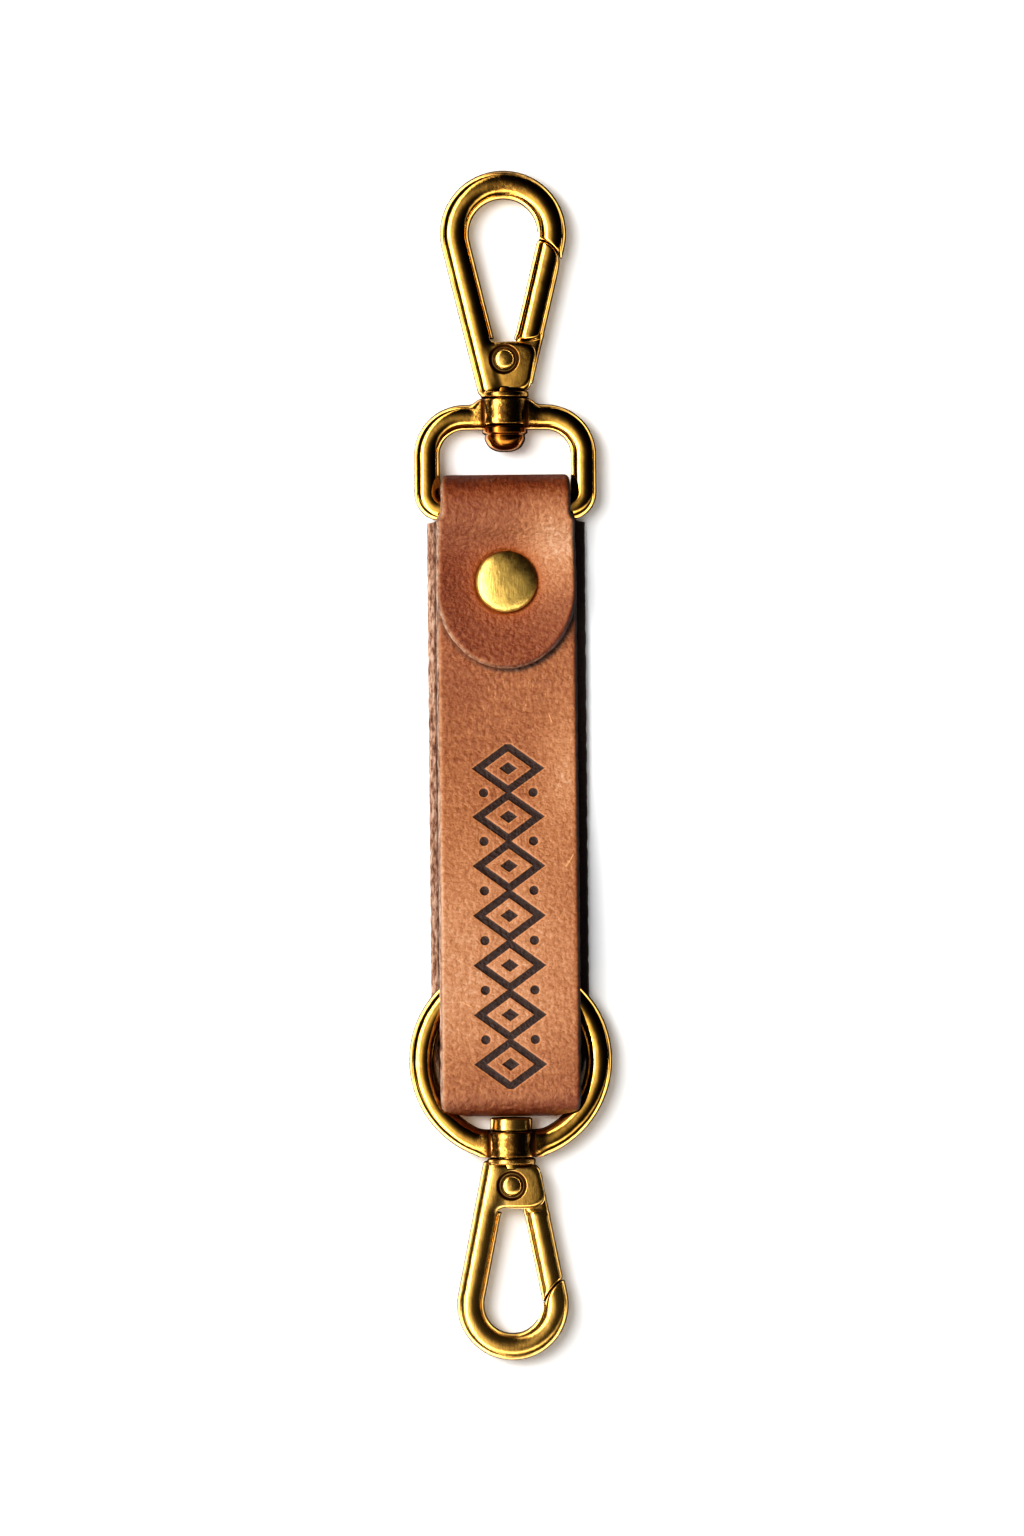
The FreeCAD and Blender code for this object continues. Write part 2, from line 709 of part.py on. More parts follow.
def placed_hook(prefix, label, face, turn):
    """Builds one hook's five pieces and moves them to the boss they hang from."""
    makers = (("hook_frame", hook_frame), ("gate", gate), ("swivel_stud", swivel_stud),
              ("gate_rivet", gate_rivet), ("gate_spring", gate_spring))
    for piece, maker in makers:
        thing = maker(prefix)
        where = thing.Placement
        shift = number(prefix + "_pivot") if piece == "gate_rivet" else 0.0
        local = Placement(Vector(0, shift, 0), Rotation()) * where
        for axis in "xyz":
            thing.setExpression(f"Placement.Base.{axis}", None)
        home = Placement(Vector(0, number(face), number("axis_height")), turn)
        thing.Placement = home * local
        finish(thing, f"{label}_{piece}")


placed_hook("top", "top", "top_boss_face", Rotation())
placed_hook("low", "bottom", "low_boss_face", FLIP)

# ---- Check and write ---------------------------------------------------------------------

doc.recompute()
for thing in doc.Objects:
    if {"Invalid", "Error"} & set(thing.State):
        raise RuntimeError(f"{thing.Name} failed: {thing.State}")
os.makedirs("parts", exist_ok=True)
for thing in parts:
    shape = thing.Shape
    if shape.isNull() or not shape.isValid() or len(shape.Solids) != 1:
        raise RuntimeError(f"{thing.Label} is not one valid solid")
    shape.exportStep(f"parts/{thing.Label}.step")
    size = shape.optimalBoundingBox()
    print(f"{thing.Label:22s} {shape.Volume:9.2f} mm3"
          f"  x {size.XMin:7.2f} {size.XMax:7.2f}"
          f"  y {size.YMin:7.2f} {size.YMax:7.2f}  z {size.ZMin:6.2f} {size.ZMax:6.2f}")
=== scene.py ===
"""Looks of the keychain: a folded leather strap, two cast rings and two swivel snap hooks.

Every metal casting is meshed from its own distance field, so that its limbs, bosses and plates
melt into each other as cast brass does. The leather is swept along the strap's middle line.
All the shapes are worked out in millimetres and scaled when their mesh is made.
"""

import math

import bpy
import numpy as np
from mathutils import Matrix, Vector


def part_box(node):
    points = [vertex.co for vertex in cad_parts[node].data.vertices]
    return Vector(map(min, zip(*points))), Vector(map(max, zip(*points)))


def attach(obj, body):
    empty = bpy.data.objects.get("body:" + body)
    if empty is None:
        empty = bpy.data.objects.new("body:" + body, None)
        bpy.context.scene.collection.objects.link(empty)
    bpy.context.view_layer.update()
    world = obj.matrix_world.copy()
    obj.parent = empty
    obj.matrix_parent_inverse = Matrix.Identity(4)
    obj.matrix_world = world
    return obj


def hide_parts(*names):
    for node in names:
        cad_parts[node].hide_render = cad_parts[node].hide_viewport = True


MM = 0.001

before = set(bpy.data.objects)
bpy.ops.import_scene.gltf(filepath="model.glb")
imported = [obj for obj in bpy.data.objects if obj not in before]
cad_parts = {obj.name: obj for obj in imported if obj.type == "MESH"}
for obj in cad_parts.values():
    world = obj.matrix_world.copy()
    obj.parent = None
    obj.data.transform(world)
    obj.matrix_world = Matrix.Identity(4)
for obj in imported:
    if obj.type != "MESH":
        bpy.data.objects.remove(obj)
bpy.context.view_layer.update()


# ---- Places, read from the frame ----

def low(node):
    """The lowest corner of a node, in millimetres."""
    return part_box(node)[0] / MM


def high(node):
    """The highest corner of a node, in millimetres."""
    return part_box(node)[1] / MM


AXIS_Z = (low("top_ring").z + high("top_ring").z) / 2
TOP_FACE = high("top_ring").y
LOW_FACE = low("bottom_ring").y
RIVET_Y = (low("rivet_cap").y + high("rivet_cap").y) / 2
CAP_RADIUS = high("rivet_cap").x
MESH_STEP = 0.16


def ease(value, start, end):
    """From 0 at the start to 1 at the end, with no kinks."""
    share = np.clip((value - start) / (end - start), 0, 1)
    return share * share * (3 - 2 * share)


def bell(value, centre, width):
    """1 at the centre, falling off on both sides."""
    return np.exp(-((value - centre) / width) ** 2)


# ---- Distance fields, in millimetres ----

def join(first, second, soft):
    """Two fields as one body, with a fillet where they meet."""
    near = np.maximum(soft - np.abs(first - second), 0) / soft
    return np.minimum(first, second) - near * near * soft / 4


def carve(first, second, soft):
    """The first field without the second, with a softened rim."""
    return -join(-first, second, soft)


def shared(first, second, soft):
    """What lies in both fields, with softened edges."""
    return -join(-first, -second, soft)


def rounded(distances, edge):
    """A convex corner between face distances, rounded by a radius."""
    outer = [np.maximum(each + edge, 0) for each in distances]
    worst = np.maximum.reduce([each + edge for each in distances])
    return np.minimum(worst, 0) + np.sqrt(sum(each * each for each in outer)) - edge


def rod(points, start, end, radius):
    """A round bar with round ends."""
    start, end = np.array(start, float), np.array(end, float)
    along = end - start
    share = np.clip((points - start) @ along / (along @ along), 0, 1)
    return np.linalg.norm(points - start - share[:, None] * along, axis=1) - radius


def drum(points, centre, axis, radius, half, edge):
    """A round disc or barrel along one of the main axes."""
    offset = points - np.array(centre, float)
    across = np.delete(offset, axis, axis=1)
    wall = np.hypot(across[:, 0], across[:, 1]) - radius
    return rounded([wall, np.abs(offset[:, axis]) - half], edge)


def block(points, centre, half, edge):
    """A box with rounded edges."""
    offset = np.abs(points - np.array(centre, float)) - np.array(half, float)
    return rounded([offset[:, 0], offset[:, 1], offset[:, 2]], edge)


def prism(points, corners, half, edge, crown, lean):
    """A convex outline, given anticlockwise, with faces crowned about a point off its middle."""
    walls = []
    for (x0, y0), (x1, y1) in zip(corners, corners[1:] + corners[:1]):
        length = math.hypot(x1 - x0, y1 - y0)
        walls.append(((points[:, 0] - x0) * (y1 - y0) - (points[:, 1] - y0) * (x1 - x0)) / length)
    wall = walls[0]
    for each in walls[1:]:
        wall = shared(wall, each, 2 * edge)
    middle = np.mean(corners, axis=0) + lean
    sag = crown * ((points[:, :2] - middle) ** 2).sum(axis=1)
    return rounded([wall, np.abs(points[:, 2]) - half + sag], edge)


def bow(points, centre, radius, first, last, thick):
    """A round bar bent to an arc in the XY plane, between two angles in degrees."""
    x, y = points[:, 0] - centre[0], points[:, 1] - centre[1]
    middle = math.radians((first + last) / 2)
    half = math.radians((last - first) / 2)
    swing = np.arctan2(y, x) - middle
    swing = np.abs((swing + math.pi) % (2 * math.pi) - math.pi)
    along = np.minimum(swing, half)
    reach = np.hypot(x, y)
    flat = reach ** 2 + radius ** 2 - 2 * reach * radius * np.cos(swing - along)
    return np.sqrt(np.maximum(flat, 0) + points[:, 2] ** 2) - thick


# ---- From a field to a mesh ----

def slopes(field, points):
    """The gradient of a field, from four samples round each point."""
    reach = 0.004
    total = np.zeros_like(points)
    for way in ((1, -1, -1), (-1, -1, 1), (-1, 1, -1), (1, 1, 1)):
        way = np.array(way, float)
        total += way * field(points + way * reach)[:, None]
    return total / (4 * reach)


def settle(field, points, rounds=3):
    """Moves points onto the zero surface of a field."""
    for _ in range(rounds):
        slope = slopes(field, points)
        square = np.maximum((slope * slope).sum(axis=1), 0.05)
        points = points - slope * (field(points) / square)[:, None]
    return points


def surface_net(field, low_corner, high_corner, step):
    """Vertices and quads of the zero surface, one vertex in each cell that it crosses."""
    origin = np.array(low_corner, float) - 2 * step
    counts = np.ceil((np.array(high_corner, float) - origin) / step).astype(int) + 3
    axes = [origin[axis] + step * np.arange(counts[axis]) for axis in range(3)]
    grid = np.stack(np.meshgrid(*axes, indexing="ij"), axis=-1)
    inside = field(grid.reshape(-1, 3)).reshape(counts) < 0
    corners = sum(inside[i:counts[0] - 1 + i, j:counts[1] - 1 + j, k:counts[2] - 1 + k].astype(int)
                  for i in (0, 1) for j in (0, 1) for k in (0, 1))
    crossed = (corners > 0) & (corners < 8)
    index = np.full(crossed.shape, -1)
    index[crossed] = np.arange(crossed.sum())
    points = origin + (np.argwhere(crossed) + 0.5) * step
    quads = []
    for axis in range(3):
        before = inside.take(range(counts[axis] - 1), axis)
        after = inside.take(range(1, counts[axis]), axis)
        one, two = np.eye(3, dtype=int)[(axis + 1) % 3], np.eye(3, dtype=int)[(axis + 2) % 3]
        for changed, order in ((before & ~after, 1), (after & ~before, -1)):
            edges = np.argwhere(changed)
            round_edge = [edges, edges - one, edges - one - two, edges - two][::order]
            quads.append(np.stack([index[tuple(cell.T)] for cell in round_edge], axis=1))
    return points, np.concatenate(quads)


def relax(points, quads):
    """Moves each vertex half way to the middle of its neighbours."""
    total = np.zeros_like(points)
    count = np.zeros(len(points))
    for a in range(4):
        for b in (quads[:, (a + 1) % 4], quads[:, (a + 3) % 4]):
            for axis in range(3):
                total[:, axis] += np.bincount(quads[:, a], points[b, axis], len(points))
            count += np.bincount(quads[:, a], minlength=len(points))
    return points / 2 + total / (2 * count[:, None])


def cast(name, part, corners, field):
    """A piece of cast metal: meshed, with where it is sheltered, worn and tarnished, and with painted
    shade in its hollows and along its lower outline.
    """
    points, quads = surface_net(field, *corners, MESH_STEP)
    points = settle(field, points)
    for _ in range(3):
        points = settle(field, relax(points, quads), 2)
    normals = slopes(field, points)
    normals /= np.maximum(np.linalg.norm(normals, axis=1), 1e-9)[:, None]
    near, far = 0.35, 0.9       # how far out the metal is felt for
    patina_and_shade = 1 - (field(points + normals * near) / near + field(points + normals * far) / far) / 2
    wear = 1 + field(points - normals * near) / near
    # Painted shade: a dark outline where the casting's sides turn down to the table
    painted_outline_shade = 0.9 * ease(0.40 - np.abs(normals[:, 2]), 0, 0.22)
    turn, origin = part.place
    piece = make_mesh(name, points @ turn.T + origin, quads)
    piece.data.normals_split_custom_set_from_vertices(normals @ turn.T)
    # Patina in hollows, together with the painted outline shade and each part's darker hollows
    paint(piece, "patina_and_shade", np.clip(np.maximum.reduce([patina_and_shade, painted_outline_shade, part.hollow_darkening(points)]), 0, 1))
    paint(piece, "wear", np.clip(wear, 0, 1))
    paint(piece, "tarnish", np.clip(part.tarnish(points), 0, 1))
    return piece


def add_object(name, data):
    piece = bpy.data.objects.new(name, data)
    bpy.context.scene.collection.objects.link(piece)
    return piece


def make_mesh(name, points, faces):
    """A smooth object from points in millimetres."""
    mesh = bpy.data.meshes.new(name)
    faces = faces.tolist() if isinstance(faces, np.ndarray) else faces
    mesh.from_pydata((np.asarray(points) * MM).tolist(), [], faces)
    mesh.update()
    mesh.shade_smooth()
    return add_object(name, mesh)


def paint(piece, name, values):
    """One number for each vertex, for the piece's material."""
    piece.data.attributes.new(name, "FLOAT", "POINT").data.foreach_set(
        "value", np.asarray(values, np.float32).ravel())


def fit(piece, body, node, material):
    """Puts a piece on its body, in the place of its CAD node."""
    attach(piece, body)
    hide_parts(node)
    piece.data.materials.append(material)


def turned(name, profile, axis, centre, turns=96):
    """A piece of revolution: profile points are (radius, height), from pole to pole."""
    angles = 2 * math.pi * np.arange(turns) / turns
    radii, heights = np.array(profile, float).T
    one, two = (axis + 1) % 3, (axis + 2) % 3
    rows = len(radii) - 2
    points = np.zeros((rows * turns + 2, 3))
    points[:-2, one] = np.outer(radii[1:-1], np.cos(angles)).ravel()
    points[:-2, two] = np.outer(radii[1:-1], np.sin(angles)).ravel()
    points[:-2, axis] = np.repeat(heights[1:-1], turns)
    points[-2:, axis] = heights[0], heights[-1]
    ring = np.arange(turns)
    after = (ring + 1) % turns
    start = turns * np.arange(rows - 1)[:, None]
    walls = [start + ring, start + after, start + turns + after, start + turns + ring]
    faces = np.stack(walls, axis=-1).reshape(-1, 4).tolist()
    pole, last = rows * turns, (rows - 1) * turns
    faces += [[pole, int(after[i]), int(i)] for i in ring]
    faces += [[pole + 1, int(last + i), int(last + after[i])] for i in ring]
    return make_mesh(name, points + np.array(centre, float), faces)


def smooth_profile(corners, spacing=0.08):
    """A profile through corners of (radius, height, rounding), with even small steps."""
    stops = [np.array(corners[0][:2], float)]
    for before, corner, after in zip(corners, corners[1:], corners[2:]):
        point = np.array(corner[:2], float)
        back, ahead = np.array(before[:2], float) - point, np.array(after[:2], float) - point
        back /= np.linalg.norm(back)
        ahead /= np.linalg.norm(ahead)
        for share in np.linspace(0, 1, 9):
            first = point + back * corner[2] * (1 - share)
            second = point + ahead * corner[2] * share
            stops.append(first * (1 - share) + second * share)
    stops.append(np.array(corners[-1][:2], float))
    path = [stops[0]]
    for stop in stops[1:]:
        gap = np.linalg.norm(stop - path[-1])
        if gap < 1e-4:
            continue
        pieces = max(1, int(gap / spacing))
        path += [path[-1] + (stop - path[-1]) * share for share in np.arange(1, pieces + 1) / pieces]
    return path


# ---- The hooks ----
# Both are drawn with the swivel axis along +Y from the ring's boss face, and the gate on +X.

class Hook:
    """The sizes of one snap hook, and the fields of its frame and gate."""
    rim_radius, rim_start, rim_end = 3.6, 0.15, 1.05
    foot, cut_corner, plate_edge, plate_crown = 0.9, 0.7, 0.85, 0.018
    slot_half, slot_floor = 1.4, 2.1
    tail_half, ear_radius = 1.3, 1.95
    head_radius, head_rise = 1.75, 0.85
    recess_radius, recess_depth = 2.15, 0.5
    pin_radius, shank_radius, shank_reach = 1.2, 1.97, 1.7
    spring_radius, spring_half = 3.4, 0.85
    gap = 0.1
    tongue_half, tongue_length = 0.6, 1.0

    def __init__(self, box_node, face, bar, gate_bar, slant, pivot, eye, plate, nose, bulge,
                 soft, browning, lean, turn):
        size = high(box_node) - low(box_node)
        self.reach = size.y + self.rim_start
        self.bar, self.gate_bar = bar / 2, gate_bar / 2
        self.middle = size.x / 2 - self.bar
        self.centre = self.reach - size.x / 2
        self.slant = math.radians(slant)
        self.pivot, self.eye = pivot, eye
        self.plate_low, self.plate_high = plate
        self.nose, self.out = np.array(nose[0], float), np.array(nose[1], float)
        self.bulge = bulge
        self.plate_half = self.bar + 0.15
        self.soft, self.browning, self.lean = soft, browning, lean
        matrix = np.eye(3) if turn > 0 else np.diag([1.0, -1.0, -1.0])
        self.place = (matrix, np.array([0, face, AXIS_Z]))

    def tangent(self, side):
        """Where a straight limb leaves the loop, and the way it runs to the base."""
        cos, sin = math.cos(self.slant), math.sin(self.slant)
        start = np.array([side * self.middle * cos, self.centre - self.middle * sin, 0])
        return start, np.array([-side * sin, -cos, 0])

    def limb_x(self, height):
        """Where the closed limb's middle line is, at a height above the boss."""
        start, down = self.tangent(-1)
        return start[0] + down[0] * (height - start[1]) / down[1]

    def nose_side(self, points):
        """How far a point lies on the gate's side of the bowed nose joint, and along it."""
        chord = np.linalg.norm(self.out - self.nose)
        across = (self.out - self.nose) / chord
        inward = np.array([across[1], -across[0]])
        along = (points[:, :2] - self.nose) @ across
        radius = chord ** 2 / (8 * self.bulge) + self.bulge / 2
        centre = self.nose + across * chord / 2 + inward * (radius - self.bulge)
        reach = np.linalg.norm(points[:, :2] - centre, axis=1)
        return math.copysign(1, radius) * (abs(radius) - reach), along

    def hollow_darkening(self, points):
        """Painted shade in the recess round the heads of the pivot rivet."""
        reach = np.hypot(points[:, 0], points[:, 1] - self.pivot)
        return bell(reach, self.recess_radius - 0.12, 0.24) * (np.abs(points[:, 2]) > self.slot_half)

    def tarnish(self, points):
        """Browning near the swivel, over the upper part of the plates and on the loop's crown."""
        x, y = points[:, 0], points[:, 1]
        near = ease(1.6 - y, 0, 0.8)
        plate = ease(y, self.pivot - 2.2, self.pivot + 1) * ease(x, -3, 0.5)
        plate = plate * ease(self.eye + 0.3 - y, 0, 0.4)
        crown = bell(x, 1.2, 4.5) * ease(y, self.reach - 5.5, self.reach - 2)
        return 0.8 * near + self.browning * (plate + 1.3 * crown)

    def round_pivot(self, points, radius, half, edge, level=0):
        """A disc about the gate's pivot."""
        return drum(points, (0, self.pivot, level), 2, radius, half, edge)

    def frame_field(self, points):
        y, height = points[:, 1], np.abs(points[:, 2])
        slant = math.degrees(self.slant)
        loop = bow(points, (0, self.centre), self.middle, -slant, 180 + slant, self.bar)
        start, down = self.tangent(-1)
        length = (start[1] - 1.6) / math.cos(self.slant)
        limb = rod(points, start, start + down * length, self.bar)
        start, down = self.tangent(1)
        nose = rod(points, start, start + down * 2 * self.bar, self.bar)
        bars = np.minimum(np.minimum(loop, limb), nose)
        bars = shared(bars, self.rim_end - 0.5 - y, 0.3)
        plates = prism(points, [
            (self.limb_x(self.foot), self.foot),
            (self.plate_low, self.foot),
            (self.plate_high, self.eye - self.cut_corner),
            (self.plate_high - self.cut_corner, self.eye),
            (self.limb_x(self.eye), self.eye),
        ], self.plate_half, self.plate_edge, self.plate_crown, self.lean)
        rim_half = (self.rim_end - self.rim_start) / 2
        rim = drum(points, (0, self.rim_start + rim_half, 0), 1, self.rim_radius, rim_half, 0.28)
        body = join(join(bars, plates, self.soft), rim, 0.3)
        slot_top = self.eye + 4
        slot = block(points, (4.7, (self.slot_floor + slot_top) / 2, 0),
                     (7.3, (slot_top - self.slot_floor) / 2, self.slot_half), 0.2)
        slot = shared(slot, y - self.eye - 0.4, 0.2)
        level = self.plate_half - self.recess_depth + 1
        inward, across = self.nose_side(points)
        beyond = np.maximum.reduce([-inward, -across - 0.3, across - 7, inward - 9])
        groove = np.maximum.reduce([-inward - self.tongue_length - self.gap,
                height - self.tongue_half - self.gap,
                across - 3.2, -across - 3, inward - 9])
        for cut, soft in (
                (slot, 0.25),
                (self.round_pivot(points, self.recess_radius, 1, 0.12, level), 0.22),
                (self.round_pivot(points, self.recess_radius, 1, 0.12, -level), 0.22),
                (self.round_pivot(points, self.pin_radius, 4, 0.1), 0.1),
                (drum(points, (0, 0, 0), 1, self.shank_radius, self.shank_reach, 0.1), 0.15),
                (beyond, 0.55),
                (groove, 0.1)):
            body = carve(body, cut, soft)
        return body

    def gate_field(self, points):
        y, height = points[:, 1], np.abs(points[:, 2])
        start, down = self.tangent(1)
        foot = start + down * (start[1] - 0.5) / math.cos(self.slant)
        bar = rod(points, start - down * 3, foot, self.gate_bar)
        thick = shared(bar, self.eye + self.gap - y, 0.9)
        tail = shared(bar, height - self.tail_half, 0.5)
        tail = shared(shared(tail, y - self.eye - 1, 0.2), 1.2 - y, 0.5)
        ear = self.round_pivot(points, self.ear_radius, self.tail_half, 0.25)
        link = block(points, (self.plate_low / 2 + 0.4, self.pivot, 0),
                     (self.plate_low / 2, 1.3, self.tail_half), 0.25)
        body = join(join(thick, tail, 0.25), join(ear, link, 0.6), 0.3)
        inner = np.maximum(points[:, 0] - self.plate_low - 0.3, y - self.slot_floor - 0.15)
        inward, across = self.nose_side(points)
        beyond = np.maximum(inward - self.gap, self.out[1] - 2 - y)
        for cut, soft in (
                (inner, 0.1),
                (self.round_pivot(points, self.spring_radius, self.spring_half, 0.1), 0.1),
                (self.round_pivot(points, self.pin_radius, 4, 0.05), 0.1),
                (beyond, 0.5)):
            body = carve(body, cut, soft)
        tongue = np.maximum.reduce([bar + 0.25, height - self.tongue_half,
                -inward - self.tongue_length, inward - 1.5, across - 2.9])
        return np.minimum(body, tongue)

    def box(self, left, thick):
        return (left, 0, -thick), (self.middle + self.bar, self.reach, thick)


TOP = Hook("top_hook_frame", TOP_FACE, bar=4.3, gate_bar=4.15, slant=13.5, pivot=5.85, eye=8.55,
           plate=(3.8, 5.1), nose=((5.7, 23.7), (8.6, 20.5)), bulge=0.6, soft=0.6, browning=0.6,
           lean=(0.3, 0.3), turn=1)
LOW = Hook("bottom_hook_frame", LOW_FACE, bar=4.05, gate_bar=3.7, slant=11.3, pivot=4.2, eye=7.8,
           plate=(4.1, 5.4), nose=((4.9, 21.5), (7.5, 18.4)), bulge=-0.35, soft=1.2, browning=0.2,
           lean=(0.7, -0.5), turn=-1)


def hook_pieces(prefix, hook, material, rivet_material):
    """The frame, gate and pivot rivet of one hook."""
    wide = hook.middle + hook.bar
    body = cast(prefix + "_hook_casting", hook, hook.box(-wide, hook.rim_radius), hook.frame_field)
    gate = cast(prefix + "_gate_casting", hook, hook.box(-2.2, hook.gate_bar), hook.gate_field)
    half = hook.plate_half - hook.recess_depth
    crown = half + hook.head_rise
    dome = [(0, crown, 0), (0.95, crown - 0.1, 0.5), (1.55, half + 0.35, 0.25),
            (hook.head_radius, half + 0.05, 0.1), (1.15, half - 0.02, 0.05)]
    under = [(radius, -height, soft) for radius, height, soft in reversed(dome)]
    matrix, origin = hook.place
    rivet = turned(prefix + "_pivot_rivet", smooth_profile(dome + under), 2,
                   matrix @ np.array([0, hook.pivot, 0]) + origin)
    paint(rivet, "patina_and_shade", rivet_recess_shade(rivet, half))
    fit(body, prefix + "_hook", prefix + "_hook_frame", material)
    fit(gate, prefix + "_gate", prefix + "_gate", material)
    fit(rivet, prefix + "_hook", prefix + "_gate_rivet", rivet_material)


def rivet_recess_shade(rivet, half):
    """Painted shade low on the pivot rivet's heads, down in their recesses."""
    z = np.abs(np.array([v.co.z for v in rivet.data.vertices]) / MM - AXIS_Z)
    return np.clip((half + 0.45 - z) / 0.4, 0, 1)


# ---- The rings ----

class Ring:
    """What the two rings share: a wire, and a swivel boss across it."""
    place = (np.eye(3), np.array([0, 0, AXIS_Z]))
    ear_half = 1.75

    def hollow_darkening(self, points):
        """Darker in the corners between the barrel and its ears."""
        away = np.abs(points[:, 1] - self.boss_middle) - self.length / 2
        corner = bell(np.abs(points[:, 0]), self.barrel - 0.25, 0.35)
        return 0.8 * corner * ease(0.4 - away, 0, 0.4)

    def tarnish(self, points):
        reach = np.hypot(points[:, 0], points[:, 1] - self.boss_middle)
        return 0.9 * ease(6.8 - reach, 0, 3.0)

    def box(self):
        lift = Vector((0, 0, AXIS_Z))
        return tuple(low(self.node) - lift), tuple(high(self.node) - lift)


class TopRing(Ring):
    node = "top_ring"
    wire, corner, low_corner = 1.9, 5.7, 2.3
    barrel, length, ear = 3.5, 3.9, 4.4
    boss_middle = TOP_FACE - length / 2

    def field(self, points):
        side = high("top_ring").x - self.wire
        bar, top = low("top_ring").y + self.wire, TOP_FACE - 0.9 - self.wire
        path = []
        for way in (-1, 1):
            for corner, height, first in ((self.corner, top - self.corner, 45 - 45 * way),
                    (self.low_corner, bar + self.low_corner, 225 + 45 * way)):
                path.append(bow(points, (way * (side - corner), height), corner,
                                first, first + 90, self.wire))
            path.append(rod(points, (way * side, bar + self.low_corner, 0),
                            (way * side, top - self.corner, 0), self.wire))
        for height, corner in ((bar, self.low_corner), (top, self.corner)):
            reach = side - corner
            path.append(rod(points, (-reach, height, 0), (reach, height, 0), self.wire))
        return boss(points, np.minimum.reduce(path), self)


class LowRing(Ring):
    node = "bottom_ring"
    wire = 1.95
    barrel, length, ear = 3.6, 3.9, 4.65
    boss_middle = LOW_FACE + length / 2

    def field(self, points):
        radius = high("bottom_ring").x - self.wire
        centre = (0, high("bottom_ring").y - high("bottom_ring").x)
        wire = bow(points, centre, radius, 0, 360, self.wire)
        return shared(boss(points, wire, self), LOW_FACE - points[:, 1], 0.15)


def boss(points, wire, ring):
    """Adds a swivel boss to a wire: a barrel between two ears that the wire flows into."""
    middle = ring.boss_middle
    ears = block(points, (0, middle, 0), (ring.ear, ring.length / 2, ring.ear_half), 1.1)
    body = join(wire, ears, 1.2)
    barrel = drum(points, (0, middle, 0), 1, ring.barrel, ring.length / 2, 0.3)
    body = join(body, barrel, 0.45)
    return carve(body, drum(points, (0, middle, 0), 1, 2.0, ring.length, 0.1), 0.15)


def ring_piece(prefix, ring, material):
    piece = cast(prefix + "_ring_casting", ring, ring.box(), ring.field)
    fit(piece, prefix + "_ring", prefix + "_ring", material)


# ---- Studs and the strap's rivet ----

def stud_piece(prefix, profile, place, material):
    """A swivel stud: its head, under the boss, and the shank up into the hook."""
    matrix, origin = place
    piece = turned(prefix + "_stud", smooth_profile(profile), 1, (0, 0, 0))
    for vertex in piece.data.vertices:
        vertex.co = Vector((matrix @ np.array(vertex.co) + origin * MM).tolist())
    along = np.array([vertex.co.y for vertex in piece.data.vertices]) / MM
    shoulder = 0.5 - 0.5 * np.cos(along * 2.1)
    paint(piece, "patina_and_shade", np.clip(shoulder * 0.4, 0, 1))
    fit(piece, prefix + "_hook", prefix + "_swivel_stud", material)


def rivet_pieces(material):
    """The domed cap on the flap, and the post with its back cap."""
    base, top = low("rivet_cap").z, high("rivet_cap").z
    shoulder = base + 0.55
    profile = [(0, top)]
    for share in np.sin(np.linspace(0, math.pi / 2, 60))[1:]:
        rise = (1 - share ** 2.1) ** 0.46
        profile.append((CAP_RADIUS * share, shoulder + (top - shoulder) * rise))
    profile += [(CAP_RADIUS, base + 0.275), (CAP_RADIUS, base), (CAP_RADIUS - 0.3, base),
                (0, base)]
    cap = turned("rivet_dome", profile, 2, (0, RIVET_Y, 0), turns=128)
    x, y, height = np.array([vertex.co for vertex in cap.data.vertices]).T / MM
    # Painted shade: darker towards the cap's upper right, with a dark line painted low round its rim
    shade = 0.62 * ease((0.7 * x + 0.9 * (y - RIVET_Y)) / CAP_RADIUS, -0.3, 1.0)
    paint(cap, "patina_and_shade", np.clip(np.maximum(shade, (base + 0.85 - height) / 0.4), 0, 1))
    back = high("rivet_post").z
    post = turned("rivet_back", smooth_profile([
        (0, 0, 0), (CAP_RADIUS - 0.8, 0.02, 0.3), (CAP_RADIUS, 0.45, 0.25),
        (CAP_RADIUS - 0.1, 0.75, 0.1), (1.65, 0.75, 0.1), (1.65, back, 0.1), (0, back, 0),
    ]), 2, (0, RIVET_Y, 0))
    paint(post, "patina_and_shade", np.zeros(len(post.data.vertices)))
    fit(cap, "strap", "rivet_cap", material)
    fit(post, "strap", "rivet_post", material)


# ---- The leather strap ----

THICK = 1.95
PITCH = 2.0
HALF_BACK = high("strap").x
HALF_FRONT = 10.55
HALF_NECK = 9.75
FOLD = (high("strap").z - THICK) / 2
FLAP_TIP = 14.5
FLAP_ROUND = 12.0
FRONT_END = 34.0
HIDDEN_RUN = 22.0
LOW_FOLD_Y = low("strap").y + high("strap").z / 2
TOP_FOLD_Y = high("strap").y - high("strap").z / 2
RING_TRAVEL = 11.0


def strap_moves():
    """The strap's runs and bends as (length, turn), from its hidden end to the flap's tip."""
    def slope(run, rise, way):
        """A double bend from one level to another."""
        radius, angle = (run ** 2 + rise ** 2) / (4 * rise), 2 * math.atan2(rise, run)
        return (radius * angle, way * angle), (radius * angle, -way * angle)

    fold = (math.pi * FOLD, math.pi)
    long_run, short_run = 40.8, 8.2
    return [(HIDDEN_RUN, 0), *slope(long_run, 4.25, -1),
            (FRONT_END - HIDDEN_RUN - long_run - LOW_FOLD_Y, 0), fold,
            (TOP_FOLD_Y - LOW_FOLD_Y, 0), fold,
            *slope(short_run, 2.25, 1), (TOP_FOLD_Y - short_run - FLAP_TIP, 0)]


